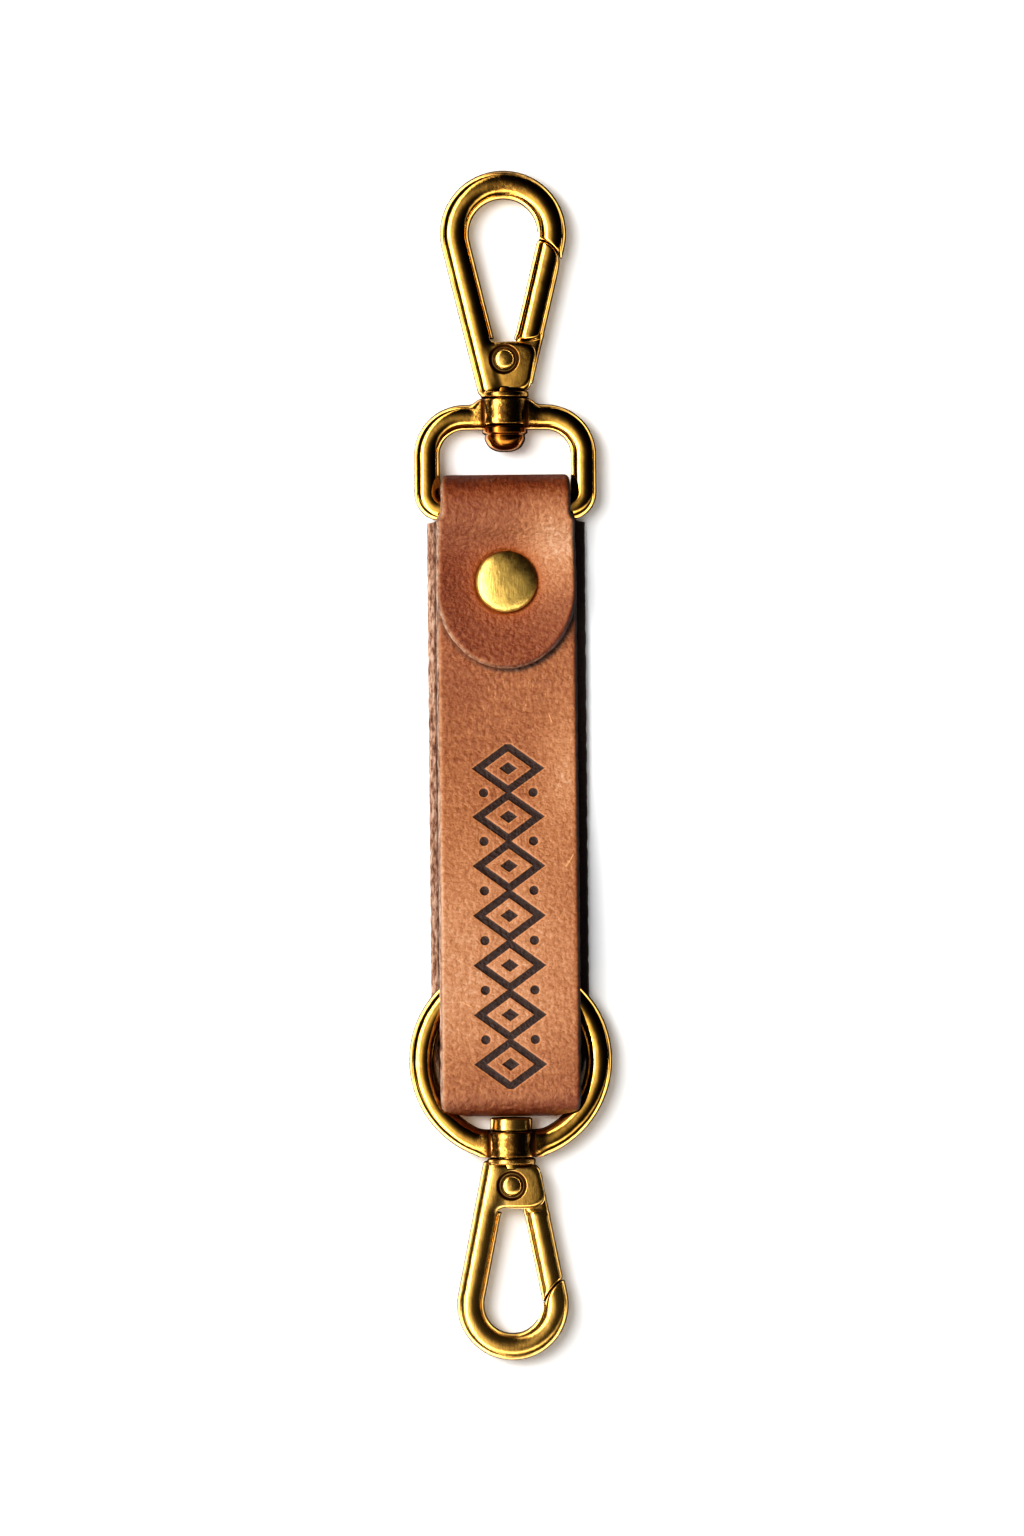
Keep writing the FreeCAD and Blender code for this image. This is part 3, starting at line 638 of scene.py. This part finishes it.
def middle_line(fine=0.01):
    """Fine samples of the middle line: distance along, Y, Z and heading."""
    turns, steps = [], []
    for length, angle in strap_moves():
        count = max(1, round(length / fine))
        turns.append(np.full(count, angle / count))
        steps.append(np.full(count, length / count))
    turn, step = np.concatenate(turns), np.concatenate(steps)
    middle = math.pi + np.cumsum(turn) - turn / 2
    along, y, z, heading = (np.concatenate([[0], np.cumsum(each)]) for each in (
        step, step * np.cos(middle), step * np.sin(middle), turn))
    return along, FRONT_END + y, PITCH + THICK / 2 + z, math.pi + heading


def ring_room(y, z):
    """How far out the leather may reach beside the round ring, at rest and pulled down."""
    ring = LowRing()
    radius = high("bottom_ring").x - ring.wire
    centre = high("bottom_ring").y - high("bottom_ring").x
    spare = ring.wire + 0.2
    inner = radius - np.sqrt(np.maximum(spare ** 2 - (z - AXIS_Z) ** 2, 0))
    room = np.full_like(y, 99.0)
    for middle in (centre, centre - RING_TRAVEL):
        beside = np.sqrt(np.maximum(inner ** 2 - (y - middle) ** 2, 0))
        clear = (np.abs(z - AXIS_Z) > spare) | (y > LOW_FOLD_Y)
        room = np.minimum(room, np.where(clear, 99.0, beside))
    return room


def neck_room(y):
    """How far out the leather may reach where the D ring's arms swing past its bar."""
    spare = TopRing.wire + 0.22
    side, bar = high("top_ring").x - TopRing.wire, low("top_ring").y + TopRing.wire
    beside = side - np.sqrt(np.maximum(spare ** 2 - (bar - y) ** 2, 0))
    return np.where(y > bar, HALF_NECK, np.where(y > bar - spare, np.maximum(beside, HALF_NECK), 99.0))


def half_width(y, heading):
    """The strap's half width, from where it is and which layer it is."""
    back = np.abs(heading - 2 * math.pi) < 0.9
    width = HALF_FRONT - 0.2 * ease(y, 26.0, 36.0)
    wide = HALF_BACK - (HALF_BACK - HALF_FRONT) * ease(-y, 41.0, 48.5)
    width = np.minimum(np.where(back, wide, width), neck_room(y))
    top_fold = np.clip(np.cos(heading - 2.5 * math.pi), 0, 1) * (y > 0)
    low_fold = np.clip(np.cos(heading - 1.5 * math.pi), 0, 1) * (y < 0)
    return width - 0.25 * top_fold ** 4 - 0.6 * low_fold ** 4


MOTIF_START, MOTIF_PITCH = 30.9, 7.4
MOTIF_END = MOTIF_START + 7 * MOTIF_PITCH
LOZENGE = (4.5, 3.3)
STROKE, CORE, DOT, DOT_PLACE = 1.15, 0.8, 0.7, 3.7


def motif(across, along):
    """Distance to the tooled chain of lozenges; below zero inside a stroke."""
    half, tall = LOZENGE
    inside = (along - MOTIF_START) / MOTIF_PITCH
    local = np.abs((inside - np.floor(inside) - 0.5) * MOTIF_PITCH)
    norm = 1 / math.hypot(1 / half, 1 / tall)
    reach = (np.abs(across) / half + local / tall) * norm
    dot = np.hypot(np.abs(across) - DOT_PLACE, local - MOTIF_PITCH / 2) - DOT
    dot = np.maximum.reduce([dot, MOTIF_START + MOTIF_PITCH / 2 - along,
            along - MOTIF_END + MOTIF_PITCH / 2])
    shape = np.minimum.reduce([np.abs(reach - norm) - STROKE / 2, reach - CORE, dot])
    return np.maximum.reduce([shape, MOTIF_START - along, along - MOTIF_END])


def strap_piece(material):
    """The leather: cross sections of the grain side, the flesh side and the cut edges."""
    along, y, z, heading = middle_line()
    total = along[-1]
    stations = strap_stations(total)
    y, z, heading = (np.interp(stations, along, each) for each in (y, z, heading))
    ahead, side = np.cos(heading), np.sin(heading)
    sunk = np.where(heading > 2.5 * math.pi, FLAP_TIP + FLAP_ROUND - y, 0)
    curve = np.sqrt(np.clip(1 - (np.clip(sunk, 0, FLAP_ROUND) / FLAP_ROUND) ** 2, 0, 1))
    width = np.maximum(half_width(y, heading) * curve, 0.12)
    rows, facts = [], []
    for shares, offset, bevel in zip(across_shares(), (1, -1), (0.75, 0.35)):
        out = offset * THICK / 2
        limit = np.minimum(width, ring_room(y + side * out, z - ahead * out))
        u = limit[:, None] * shares[None, :]
        s = np.repeat(stations[:, None], len(shares), axis=1)
        gap = edge_distance(u, s, limit, sunk)
        drop = bevel - np.sqrt(np.maximum(bevel ** 2 - np.maximum(bevel - gap, 0) ** 2, 0))
        height = THICK / 2 - drop - dents(u, s, y, heading, offset)
        away = offset * height + curl(u, s, y, heading, total)
        rows.append(np.stack([u, y[:, None] + side[:, None] * away,
                z[:, None] - ahead[:, None] * away], axis=-1))
        facts.append(np.stack([u, s, gap, np.full_like(u, offset)], axis=-1))
    grid = np.concatenate([rows[0], wall(rows, 1), rows[1], wall(rows, 0)], axis=1)
    data = np.concatenate([facts[0], wall(facts, 1), facts[1], wall(facts, 0)], axis=1)
    count, ring = grid.shape[:2]
    index = np.arange(count * ring).reshape(count, ring)
    after = np.roll(index, -1, axis=1)
    faces = np.stack([index[:-1], after[:-1], after[1:], index[1:]], axis=-1).reshape(-1, 4).tolist()
    faces += [index[0].tolist(), index[-1].tolist()[::-1]]
    data = data.reshape(-1, 4)
    points = roughen(grid.reshape(-1, 3), data)
    piece = make_mesh("strap_leather", points, faces)
    paint_strap(piece, data, points)
    fit(piece, "strap", "strap", material)


def strap_stations(total):
    """Where the cross sections lie: close together on the tooling, the neck and the tip."""
    spots = [0.0]
    tip_start = total - FLAP_ROUND
    while spots[-1] < tip_start:
        here = spots[-1]
        tooled = MOTIF_START - 1 < here < MOTIF_END + 1
        neck = total - 42 < here < total - 20
        spots.append(here + (0.15 if neck else 0.2 if tooled else 0.32))
    angles = np.linspace(0, math.pi / 2 - 0.012, 90)
    return np.array(spots[:-1] + (tip_start + FLAP_ROUND * np.sin(angles)).tolist())


def across_shares():
    """Where the points of a cross section lie, as shares of the half width."""
    middle = np.linspace(-0.52, 0.52, 57)
    side = np.linspace(0.52, 0.93, 14)[1:]
    rim = 1 - 0.07 * (1 - np.sin(np.linspace(0, math.pi / 2, 9)))[1:]
    right = np.concatenate([side, rim])
    outer = np.concatenate([-right[::-1], middle, right])
    inner = np.concatenate([-right[::-1], np.linspace(-0.52, 0.52, 17), right])[::-1]
    return outer, inner


def edge_distance(u, s, limit, sunk):
    """How far each point lies from the strap's cut edge."""
    gap = np.minimum(limit[:, None] - np.abs(u), s)
    q = np.clip(sunk, 0, FLAP_ROUND)[:, None]
    form = np.hypot(u / HALF_FRONT, q / FLAP_ROUND)
    slope = np.hypot(u / HALF_FRONT ** 2, q / FLAP_ROUND ** 2)
    tip = (1 - form) * form / np.maximum(slope, 1e-6)
    return np.maximum(np.where(sunk[:, None] > 0, np.minimum(gap + 99 * (q > 0), tip), gap), 0)


def dents(u, s, y, heading, offset):
    """What is pressed into the grain side: the tooling and the dish round the rivet."""
    if offset < 0:
        return 0.0
    stroke = motif(u, s)
    tooled = 0.26 * ease(-stroke, -0.16, 0.16)
    reach = np.hypot(u, y[:, None] - RIVET_Y)
    flap = (heading[:, None] > 2.5 * math.pi) * ease(TOP_FOLD_Y - 1 - y[:, None], 0, 5)
    seat = 0.30 * ease(CAP_RADIUS + 0.1 - reach, -0.25, 0.05)
    dish = 0.38 * np.exp(-(reach / 6.2) ** 2)
    return tooled + flap * (seat + dish)


def curl(u, s, y, heading, total):
    """How the free edges of the flap and front layer lift."""
    flap = heading[:, None] > 2.5 * math.pi
    out = np.abs(u) / HALF_FRONT
    free = ease(36.0 - y[:, None], 0, 8)
    lift = 0.42 * out ** 3 * free + 0.25 * ease(s, total - 6, total)
    front = heading[:, None] < 1.3 * math.pi
    roll = 0.10 * out ** 3 * front * ease(12 - y[:, None], 0, 8)
    return np.where(flap, lift, roll)


def wall(faces, right):
    """The cut edge between the grain side and the flesh side."""
    outer = faces[0][:, -1] if right else faces[0][:, 0]
    inner = faces[1][:, 0] if right else faces[1][:, -1]
    first, second = (outer, inner) if right else (inner, outer)
    shares = np.array([0.2, 0.4, 0.6, 0.8])[None, :, None]
    return first[:, None] * (1 - shares) + second[:, None] * shares


def roughen(points, data):
    """A slight waviness, and the uneven fibres of the cut edges."""
    rng = np.random.default_rng(7)
    u, s, gap, side = data.T
    edge = ease(0.7 - gap, 0, 0.7)
    wave = np.zeros(len(points))
    fray = np.zeros(len(points))
    for _ in range(10):
        length, phase, way = rng.uniform(7, 22), rng.uniform(0, 6.28), rng.uniform(-1, 1)
        wave += np.sin(2 * math.pi * (s + way * u) / length + phase) / 10
    for _ in range(14):
        length, phase = rng.uniform(0.8, 5), rng.uniform(0, 6.28)
        fray += np.sin(2 * math.pi * s / length + phase + 2.0 * np.sign(u)) * length / 40
    moved = points.copy()
    moved[:, 0] -= np.sign(u) * edge * np.clip(fray * 0.18, -0.02, 0.20)
    top = (points[:, 2] > 1.2) & (side > 0)
    moved[:, 2] += np.where(top, 0.10 * wave * (1 - edge), 0)
    return moved


def front_light_and_tone(u, y):
    """Painted light and shade on the front layer, with its tone, from 0 for dark to 1 for pale."""
    tone_and_light = 0.50 + 0.30 * ease(-y, -6, 30) - 0.27 * ease(-y, 36, 50)
    tone_and_light -= 0.12 * ease(u, 2, 10) * ease(-y, 10, 20)
    tone_and_light += 0.28 * bell(y, 0, 9) * ease(u, 2, 9)
    return tone_and_light - 0.12 * ease(y, 3, 12) * ease(-u, 0, 8)


def flap_light_and_tone(u, y):
    """The same on the flap, which is darker and has a painted sheen on its upper right."""
    tone_and_light = 0.30 + 0.54 * bell(y, 32, 7) * ease(u, -1, 7)
    return tone_and_light - 0.10 * ease(-u, 2, 8) + 0.12 * bell(y, 36, 4)


def paint_strap(piece, data, points):
    """Tone with painted light, shade and shadows, burnish, raw edge and the flat coordinates of each
    vertex.
    """
    u, s, gap, side = data.T
    y, z = points[:, 1], points[:, 2]
    total = s.max()
    flap = ease(s, total - 33, total - 25)
    front = (s < 92) & (z > 2.2)
    tone_and_light = np.where(front, front_light_and_tone(u, y), 0.60)
    tone_and_light = tone_and_light + (flap_light_and_tone(u, y) - tone_and_light) * flap
    # Painted highlight along the left rims of the grain side, painted shade along the right rims
    lit = ease(1.0 - gap, 0, 0.8) * (side > 0)
    tone_and_light = tone_and_light + lit * (0.45 * ease(-u, -1, 5) - 0.25 * ease(u, 1, 7))
    for fold_y in (high("strap").y, low("strap").y):
        tone_and_light = tone_and_light - 0.34 * ease(3.6 - np.abs(y - fold_y), 0, 3.4) * (z > 1.5)
    tone_and_light = np.where((z < 2.1) & ~front, 0.55, tone_and_light)
    paint(piece, "tone_and_light", np.clip(tone_and_light, 0, 1))
    reach = np.hypot(u, y - RIVET_Y)
    paint(piece, "burnish", np.exp(-(np.maximum(reach - CAP_RADIUS, 0) / 0.9)) * flap)
    tip = ease(s, total - 10, total - 3) * 0.45
    paint(piece, "raw", np.where(side > 0, ease(0.5 - gap, 0, 0.35) * (1 - tip), 1))
    # Painted shadows: a dark line in the groove where the front layer's edge meets the back layer, and
    # a dark band on the front layer under the flap's rim, strongest at the lower right
    between = 0.7 * bell(np.abs(u), HALF_FRONT + 0.10, 0.14) * (z > 1.2) * (z < 2.6)
    below = FLAP_TIP + FLAP_ROUND - y
    out = (np.hypot(u / HALF_FRONT, below / FLAP_ROUND) - 1) * HALF_FRONT
    under = bell(out, 0.15, 0.38) * front * (below > 0) * (0.4 + 0.55 * ease(u, -6, 5))
    paint(piece, "painted_shadow", np.clip(between + under, 0, 1))
    paint(piece, "rub", bell(y, 10.5, 4.5) * bell(u, 1.5, 6) * front)
    paint(piece, "across", u)
    paint(piece, "along", s)


# ---- Materials ----

class Tree:
    """A small builder of shader nodes; a value is a number, a tuple or another node's output."""

    def __init__(self, tree):
        self.tree = tree

    def link(self, value, socket):
        if isinstance(value, (int, float, tuple)):
            socket.default_value = value
        else:
            self.tree.links.new(value, socket)

    def add(self, kind, inputs=(), **settings):
        """A node with its settings, and its inputs as (socket, value) pairs."""
        node = self.tree.nodes.new("ShaderNode" + kind)
        for name, value in settings.items():
            setattr(node, name, value)
        for socket, value in inputs:
            self.link(value, node.inputs[socket])
        return node

    def math(self, operation, *values):
        return self.add("Math", enumerate(values), operation=operation).outputs[0]

    def minus(self, first, second):
        return self.math("SUBTRACT", first, second)

    def times(self, first, second):
        return self.math("MULTIPLY", first, second)

    def size(self, value):
        return self.math("ABSOLUTE", value)

    def most(self, first, *others):
        for each in others:
            first = self.math("MAXIMUM", first, each)
        return first

    def total(self, *values):
        """The sum of (value, share) pairs and plain numbers."""
        result = 0.0
        for value in values:
            if isinstance(value, tuple):
                result = self.math("MULTIPLY_ADD", value[0], float(value[1]), result)
            else:
                result = self.math("ADD", result, float(value))
        return result

    def step(self, value, start, end):
        """A smooth step of a value between two limits."""
        inputs = ("Value", value), ("From Min", start), ("From Max", end)
        return self.add("MapRange", inputs, interpolation_type="SMOOTHSTEP").outputs["Result"]

    def noise(self, size, detail=3.0, where=None, stretch=(1, 1, 1), rough=0.5):
        """Noise with features of a size in millimetres, from about 0 to 1."""
        inputs = (0, where or self.place), (1, tuple(1 / each for each in stretch))
        place = self.add("VectorMath", inputs, operation="MULTIPLY").outputs[0]
        inputs = ("Vector", place), ("Scale", 1 / size), ("Detail", detail), ("Roughness", rough)
        return self.add("TexNoise", inputs).outputs["Fac"]

    def cells(self, size, where):
        """The distance to the nearest of many scattered points."""
        return self.add("TexVoronoi", (("Vector", where), ("Scale", 1 / size))).outputs["Distance"]

    def attribute(self, name):
        return self.add("Attribute", attribute_name=name).outputs["Fac"]

    def mix(self, share, first, second):
        colours = [each + (1.0,) if isinstance(each, tuple) else each for each in (first, second)]
        inputs = (0, share), (6, colours[0]), (7, colours[1])
        return self.add("Mix", inputs, data_type="RGBA").outputs[2]

    def ramp(self, value, stops):
        node = self.add("ValToRGB", ((0, value),))
        elements = node.color_ramp.elements
        while len(elements) < len(stops):
            elements.new(0.5)
        for element, (place, colour) in zip(elements, stops):
            element.position = place
            element.color = colour + (1.0,)
        return node.outputs["Color"]

    def bump(self, height, distance, strength=1.0, normal=None):
        """Relief of a height from 0 to 1, with its real depth in millimetres."""
        inputs = ("Strength", strength), ("Distance", distance * MM), ("Height", height)
        node = self.add("Bump", inputs)
        if normal is not None:
            self.link(normal, node.inputs["Normal"])
        return node.outputs["Normal"]


class Shader(Tree):
    """A node material, with its object's coordinates in millimetres."""

    def __init__(self, name):
        self.material = bpy.data.materials.new(name)
        self.material.use_nodes = True
        super().__init__(self.material.node_tree)
        inputs = (0, self.add("TexCoord").outputs["Object"]), ("Scale", 1 / MM)
        self.place = self.add("VectorMath", inputs, operation="SCALE").outputs[0]

    def finish(self, colour, roughness, normal, **numbers):
        sockets = self.tree.nodes["Principled BSDF"].inputs
        for name, value in (("Base Color", colour), ("Roughness", roughness), ("Normal", normal)):
            self.link(value, sockets[name])
        for name, value in numbers.items():
            sockets[name.replace("_", " ")].default_value = value
        return self.material


def srgb(red, green, blue):
    """A linear colour from the usual 0 to 255 numbers."""
    return tuple(((part / 255 + 0.055) / 1.055) ** 2.4 for part in (red, green, blue))


def brass(name, bright, brown, roughness, patina, wobble, scratch, metallic=1.0):
    """Antique brass: polished on its crowns, browned where polish never reaches, and darkened by the
    shade painted into each piece.
    """
    shade = Shader(name)
    blotch = shade.noise(2.6, 4, rough=0.6)
    speck = shade.noise(0.35, 3, rough=0.65)
    spots = shade.step(shade.noise(0.9, 4, rough=0.65), 0.25, 0.62)
    stain = shade.times(shade.attribute("tarnish"), spots)
    # Patina, grime and painted shade, all mixed towards brown
    grime_and_shade = shade.total((shade.attribute("patina_and_shade"), 1.9), (blotch, patina), (speck, 0.25),
            (stain, 0.25), -0.32 - patina * 0.55)
    grime_and_shade = shade.step(grime_and_shade, 0.1, 1.15)
    polish = shade.step(shade.attribute("wear"), 0.3, 0.8)
    colour = shade.mix(shade.times(polish, 0.6), bright, srgb(248, 214, 140))
    colour = shade.mix(stain, colour, srgb(132, 92, 50))
    colour = shade.mix(grime_and_shade, colour, brown)
    colour = shade.mix(shade.step(blotch, 0.35, 0.75), colour, shade.mix(0.35, colour, brown))
    rough = shade.total((grime_and_shade, 0.24), (speck, 0.10), (blotch, 0.08), (stain, 0.16), roughness - 0.09)
    waves = shade.noise(1.9, 2, rough=0.45)
    lines = shade.noise(0.22, 2, stretch=(1, 7, 1), rough=0.6)
    normal = shade.bump(waves, wobble)
    normal = shade.bump(lines, scratch, normal=normal)
    normal = shade.bump(speck, scratch * 0.7, normal=normal)
    normal = shade.bump(stain, 0.03, normal=normal)
    return shade.finish(colour, rough, normal, Metallic=metallic)


def leather_motif(shade, across, along):
    """The tooled chain as nodes: the same distance that shapes the mesh."""
    minus, size, times = shade.minus, shade.size, shade.times
    half, tall = LOZENGE
    place = shade.math("DIVIDE", minus(along, MOTIF_START), MOTIF_PITCH)
    local = minus(shade.math("FRACT", place), 0.5)
    local = size(times(local, MOTIF_PITCH))
    side = size(across)
    norm = 1 / math.hypot(1 / half, 1 / tall)
    reach = shade.total((side, norm / half), (local, norm / tall))
    line = minus(size(minus(reach, norm)), STROKE / 2)
    core = minus(reach, CORE)
    dx, dy = minus(side, DOT_PLACE), minus(local, MOTIF_PITCH / 2)
    dot = shade.math("SQRT", shade.math("ADD", times(dx, dx), times(dy, dy)))
    dot = shade.most(minus(dot, DOT), minus(MOTIF_START + MOTIF_PITCH / 2, along),
            minus(along, MOTIF_END - MOTIF_PITCH / 2))
    shape = shade.math("MINIMUM", shade.math("MINIMUM", line, core), dot)
    return shade.most(shape, minus(MOTIF_START, along), minus(along, MOTIF_END))


# Light scratches in the leather: across, along, angle in degrees and half length.
SCRATCHES = ((9.2, 48.6, -60, 1.5), (8.7, 49.2, -66, 0.8), (-6.5, 70.0, 25, 1.2), (6.4, 27.0, 70, 1.0))


def leather_scuffs(shade, across, along, streaks):
    """Pale rubs below the flap, and a few light scratches."""
    rub = shade.times(shade.step(streaks, 0.56, 0.72), shade.attribute("rub"))
    for u, s, angle, half in SCRATCHES:
        dx, dy = shade.minus(across, u), shade.minus(along, s)
        cos, sin = math.cos(math.radians(angle)), math.sin(math.radians(angle))
        run = shade.size(shade.total((dx, cos), (dy, sin)))
        off = shade.size(shade.total((dx, -sin), (dy, cos)))
        line = shade.times(shade.step(run, half, half * 0.4), shade.step(off, 0.13, 0.03))
        rub = shade.most(rub, line)
    return rub


def leather_material():
    """Vegetable-tanned leather with a burnished face, tooling and raw cut edges, and painted light,
    shade and shadows.
    """
    shade = Shader("leather_tan")
    across, along = shade.attribute("across"), shade.attribute("along")
    flat = shade.add("CombineXYZ", ((0, across), (1, along))).outputs[0]
    stroke = leather_motif(shade, across, along)
    cloud = shade.noise(7.0, 4, flat, rough=0.6)
    mottle = shade.noise(1.3, 5, flat, rough=0.68)
    grain = shade.noise(0.33, 4, flat, rough=0.7)
    pores = shade.cells(0.55, flat)
    drag = shade.noise(0.5, 4, flat, stretch=(1, 3.5, 1), rough=0.7)
    grit = shade.noise(0.7, 2, flat, rough=0.5)
    # Tone with the painted light and shade from the strap's vertices
    tone_and_light = shade.total((shade.attribute("tone_and_light"), 1), (cloud, 0.26), (mottle, 0.36), (grain, 0.5),
            (drag, 0.2), (grit, 0.6), -0.96)
    colour = shade.ramp(tone_and_light, [
        (0.0, srgb(94, 38, 8)), (0.22, srgb(122, 58, 20)), (0.42, srgb(142, 84, 46)),
        (0.62, srgb(166, 108, 66)), (0.82, srgb(186, 131, 90)), (1.0, srgb(206, 160, 128)),
    ])
    halo = shade.attribute("burnish")
    colour = shade.mix(shade.times(halo, 0.7), colour, srgb(172, 92, 34))
    rim = shade.times(shade.step(stroke, 0.34, 0.02), 0.6)
    colour = shade.mix(rim, colour, srgb(206, 142, 92))
    colour = shade.mix(leather_scuffs(shade, across, along, drag), colour, srgb(214, 158, 110))
    burn = shade.step(shade.total((stroke, 1), (grain, 0.10), -0.05), 0.05, -0.06)
    colour = shade.mix(burn, colour, shade.mix(mottle, srgb(34, 20, 14), srgb(60, 36, 26)))
    raw = shade.attribute("raw")
    fibre = shade.noise(0.5, 5, stretch=(1, 4, 0.8), rough=0.75)
    pale = shade.ramp(fibre, [
        (0.36, srgb(84, 50, 34)), (0.45, srgb(156, 110, 84)), (0.54, srgb(206, 166, 140)),
        (0.66, srgb(234, 206, 184)),
    ])
    # Painted shade: the cut edges on the right are near black, the left ones pale
    shaded_edge = shade.mix(fibre, srgb(12, 8, 6), srgb(46, 28, 20))
    colour = shade.mix(raw, colour, shade.mix(shade.step(across, 4.0, 9.5), pale, shaded_edge))
    # The painted shadows in dark brown
    colour = shade.mix(shade.attribute("painted_shadow"), colour, srgb(40, 20, 12))
    rough = shade.total((mottle, 0.16), (pores, 0.10), (raw, 0.25), (burn, 0.15), 0.34)
    relief = shade.total((grain, 0.35), (pores, 0.3), (mottle, 0.5), (grit, 1.0))
    normal = shade.bump(relief, 0.28)
    normal = shade.bump(shade.times(fibre, raw), 0.5, 0.8, normal)
    normal = shade.bump(shade.step(stroke, -0.08, 0.08), 0.12, 0.7, normal)
    return shade.finish(colour, rough, normal, Coat_Weight=0.12, Coat_Roughness=0.38)


def steel_material():
    """Oil-darkened spring steel, for the springs inside the hooks."""
    shade = Shader("spring_steel_dark")
    speck = shade.noise(0.2, 3)
    colour = shade.mix(speck, srgb(96, 96, 98), srgb(150, 148, 144))
    rough = shade.total((speck, 0.2), 0.28)
    return shade.finish(colour, rough, shade.bump(speck, 0.01), Metallic=1.0)


# ---- The pieces, put together ----

BROWN = srgb(74, 40, 12)
polished = brass("brass_polished", srgb(226, 178, 92), BROWN, 0.09, 0.30, 0.05, 0.004)
satin = brass("brass_satin", srgb(222, 178, 98), BROWN, 0.17, 0.40, 0.05, 0.012, 0.94)
amber = brass("brass_amber", srgb(150, 98, 42), srgb(40, 20, 8), 0.18, 0.9, 0.06, 0.006)
aged = brass("brass_aged", srgb(226, 190, 108), srgb(58, 40, 8), 0.30, 0.9, 0.12, 0.04, 0.8)

# Stud profiles as (radius, height, rounding), from the tip of the shank down to the head.
TOP_STUD = [(0, 1.7, 0), (1.9, 1.7, 0.1), (1.95, -4.0, 0.1), (3.1, -4.0, 0.2), (3.4, -4.3, 0.2),
            (3.4, -5.2, 0.2), (2.95, -5.45, 0.15), (3.1, -6.0, 0.4), (2.6, -7.2, 0.7),
            (1.4, -7.95, 0.7), (0, -8.0, 0)]
LOW_STUD = [(0, 1.7, 0), (1.9, 1.7, 0.1), (1.95, -4.05, 0.1), (3.15, -4.05, 0.2), (3.15, -5.9, 0.3),
            (0, -5.9, 0)]

hook_pieces("top", TOP, polished, satin)
hook_pieces("bottom", LOW, satin, satin)
ring_piece("top", TopRing(), polished)
ring_piece("bottom", LowRing(), polished)
stud_piece("top", TOP_STUD, TOP.place, amber)
stud_piece("bottom", LOW_STUD, LOW.place, satin)
rivet_pieces(aged)
strap_piece(leather_material())

steel = steel_material()
for spring in ("top_gate_spring", "bottom_gate_spring"):
    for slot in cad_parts[spring].material_slots:
        slot.material = steel


# ---- Floor, light and camera ----

def floor():
    """Matt white paper, which the metal doesn't mirror."""
    corners = 1600 * np.array([(-1, -1, 0), (1, -1, 0), (1, 1, 0), (-1, 1, 0)])
    piece = make_mesh("floor", corners, [(0, 1, 2, 3)])
    shade = Shader("floor_white")
    paper = shade.noise(60, 2)
    colour = shade.mix(paper, (0.93, 0.93, 0.93), (0.90, 0.90, 0.90))
    piece.data.materials.append(shade.finish(colour, 0.9, shade.bump(paper, 0.01)))
    piece.visible_glossy = False


def softbox(name, way, distance, size, power):
    """A rectangular lamp that lights the keychain from a direction."""
    light = bpy.data.lights.new(name, "AREA")
    light.shape = "RECTANGLE"
    light.size, light.size_y = size
    light.energy = power
    lamp = add_object(name, light)
    away = Vector(way).normalized()
    lamp.location = away * distance
    lamp.rotation_euler = away.to_track_quat("Z", "Y").to_euler()
    lamp.visible_glossy = False


def lobe(shade, tilts, centre, spread, strength):
    """A soft patch of light for the metal, placed by its tilts in degrees; None is any tilt."""
    total = 0.0
    for tilt, middle, width in zip(tilts, centre, spread):
        if middle is not None:
            offset = shade.math("DIVIDE", shade.minus(tilt, middle), width)
            total = shade.math("ADD", total, shade.times(offset, offset))
    return shade.times(shade.math("EXPONENT", shade.times(total, -1.0)), strength)


# Patches of light for the metal: centre and spread of the tilts across X and Y, and strength.
# A tilt past 90 degrees lies below the floor.
STRIPS = (
    ((-44, -6), (10, 65), 8.5),
    ((-20, -16), (19, 34), 1.2),
    ((-4, -52), (55, 10), 3.6),
    ((2, 0), (28, 34), 0.06),
    ((-127, None), (17, None), 3.6),
    ((121, None), (11, None), 1.5),
    ((None, -122), (None, 18), 2.6),
    ((None, 124), (None, 11), 1.2),
)


def studio():
    """A dark studio with soft strips of light for the metal, and lamps that light the leather."""
    world = bpy.data.worlds.new("studio")
    world.use_nodes = True
    bpy.context.scene.world = world
    shade = Tree(world.node_tree)
    x, y, z = shade.add("SeparateXYZ", ((0, shade.add("TexCoord").outputs["Generated"]),)).outputs
    tilts = [shade.times(shade.math("ARCTAN2", side, z), math.degrees(1)) for side in (x, y)]
    glow = 0.005
    for strip in STRIPS:
        glow = shade.math("ADD", glow, lobe(shade, tilts, *strip))
    seen = shade.add("LightPath").outputs["Is Camera Ray"]
    light = shade.mix(seen, glow, (0.9, 0.9, 0.9))
    shade.link(light, world.node_tree.nodes["Background"].inputs["Color"])
    world.cycles_visibility.diffuse = False
    softbox("key", (-0.42, 0.2, 1.0), 1.0, (0.42, 0.6), 9)
    softbox("fill", (0.3, -0.2, 1.0), 1.4, (1.4, 1.4), 7)
    view = bpy.context.scene.view_settings
    view.view_transform = "Standard"
    view.look = "High Contrast"


def camera():
    """Straight above, with the small offset and roll of the photo."""
    data = bpy.data.cameras.new("camera")
    data.lens = 180.0
    data.sensor_fit = "VERTICAL"
    data.sensor_height = 36.0
    data.clip_end = 20
    eye = add_object("camera", data)
    eye.location = (0.0006, -0.0004, 1.152 + AXIS_Z * MM)
    eye.rotation_euler = (0, 0, math.radians(-0.53))
    bpy.context.scene.camera = eye


floor()
studio()
camera()
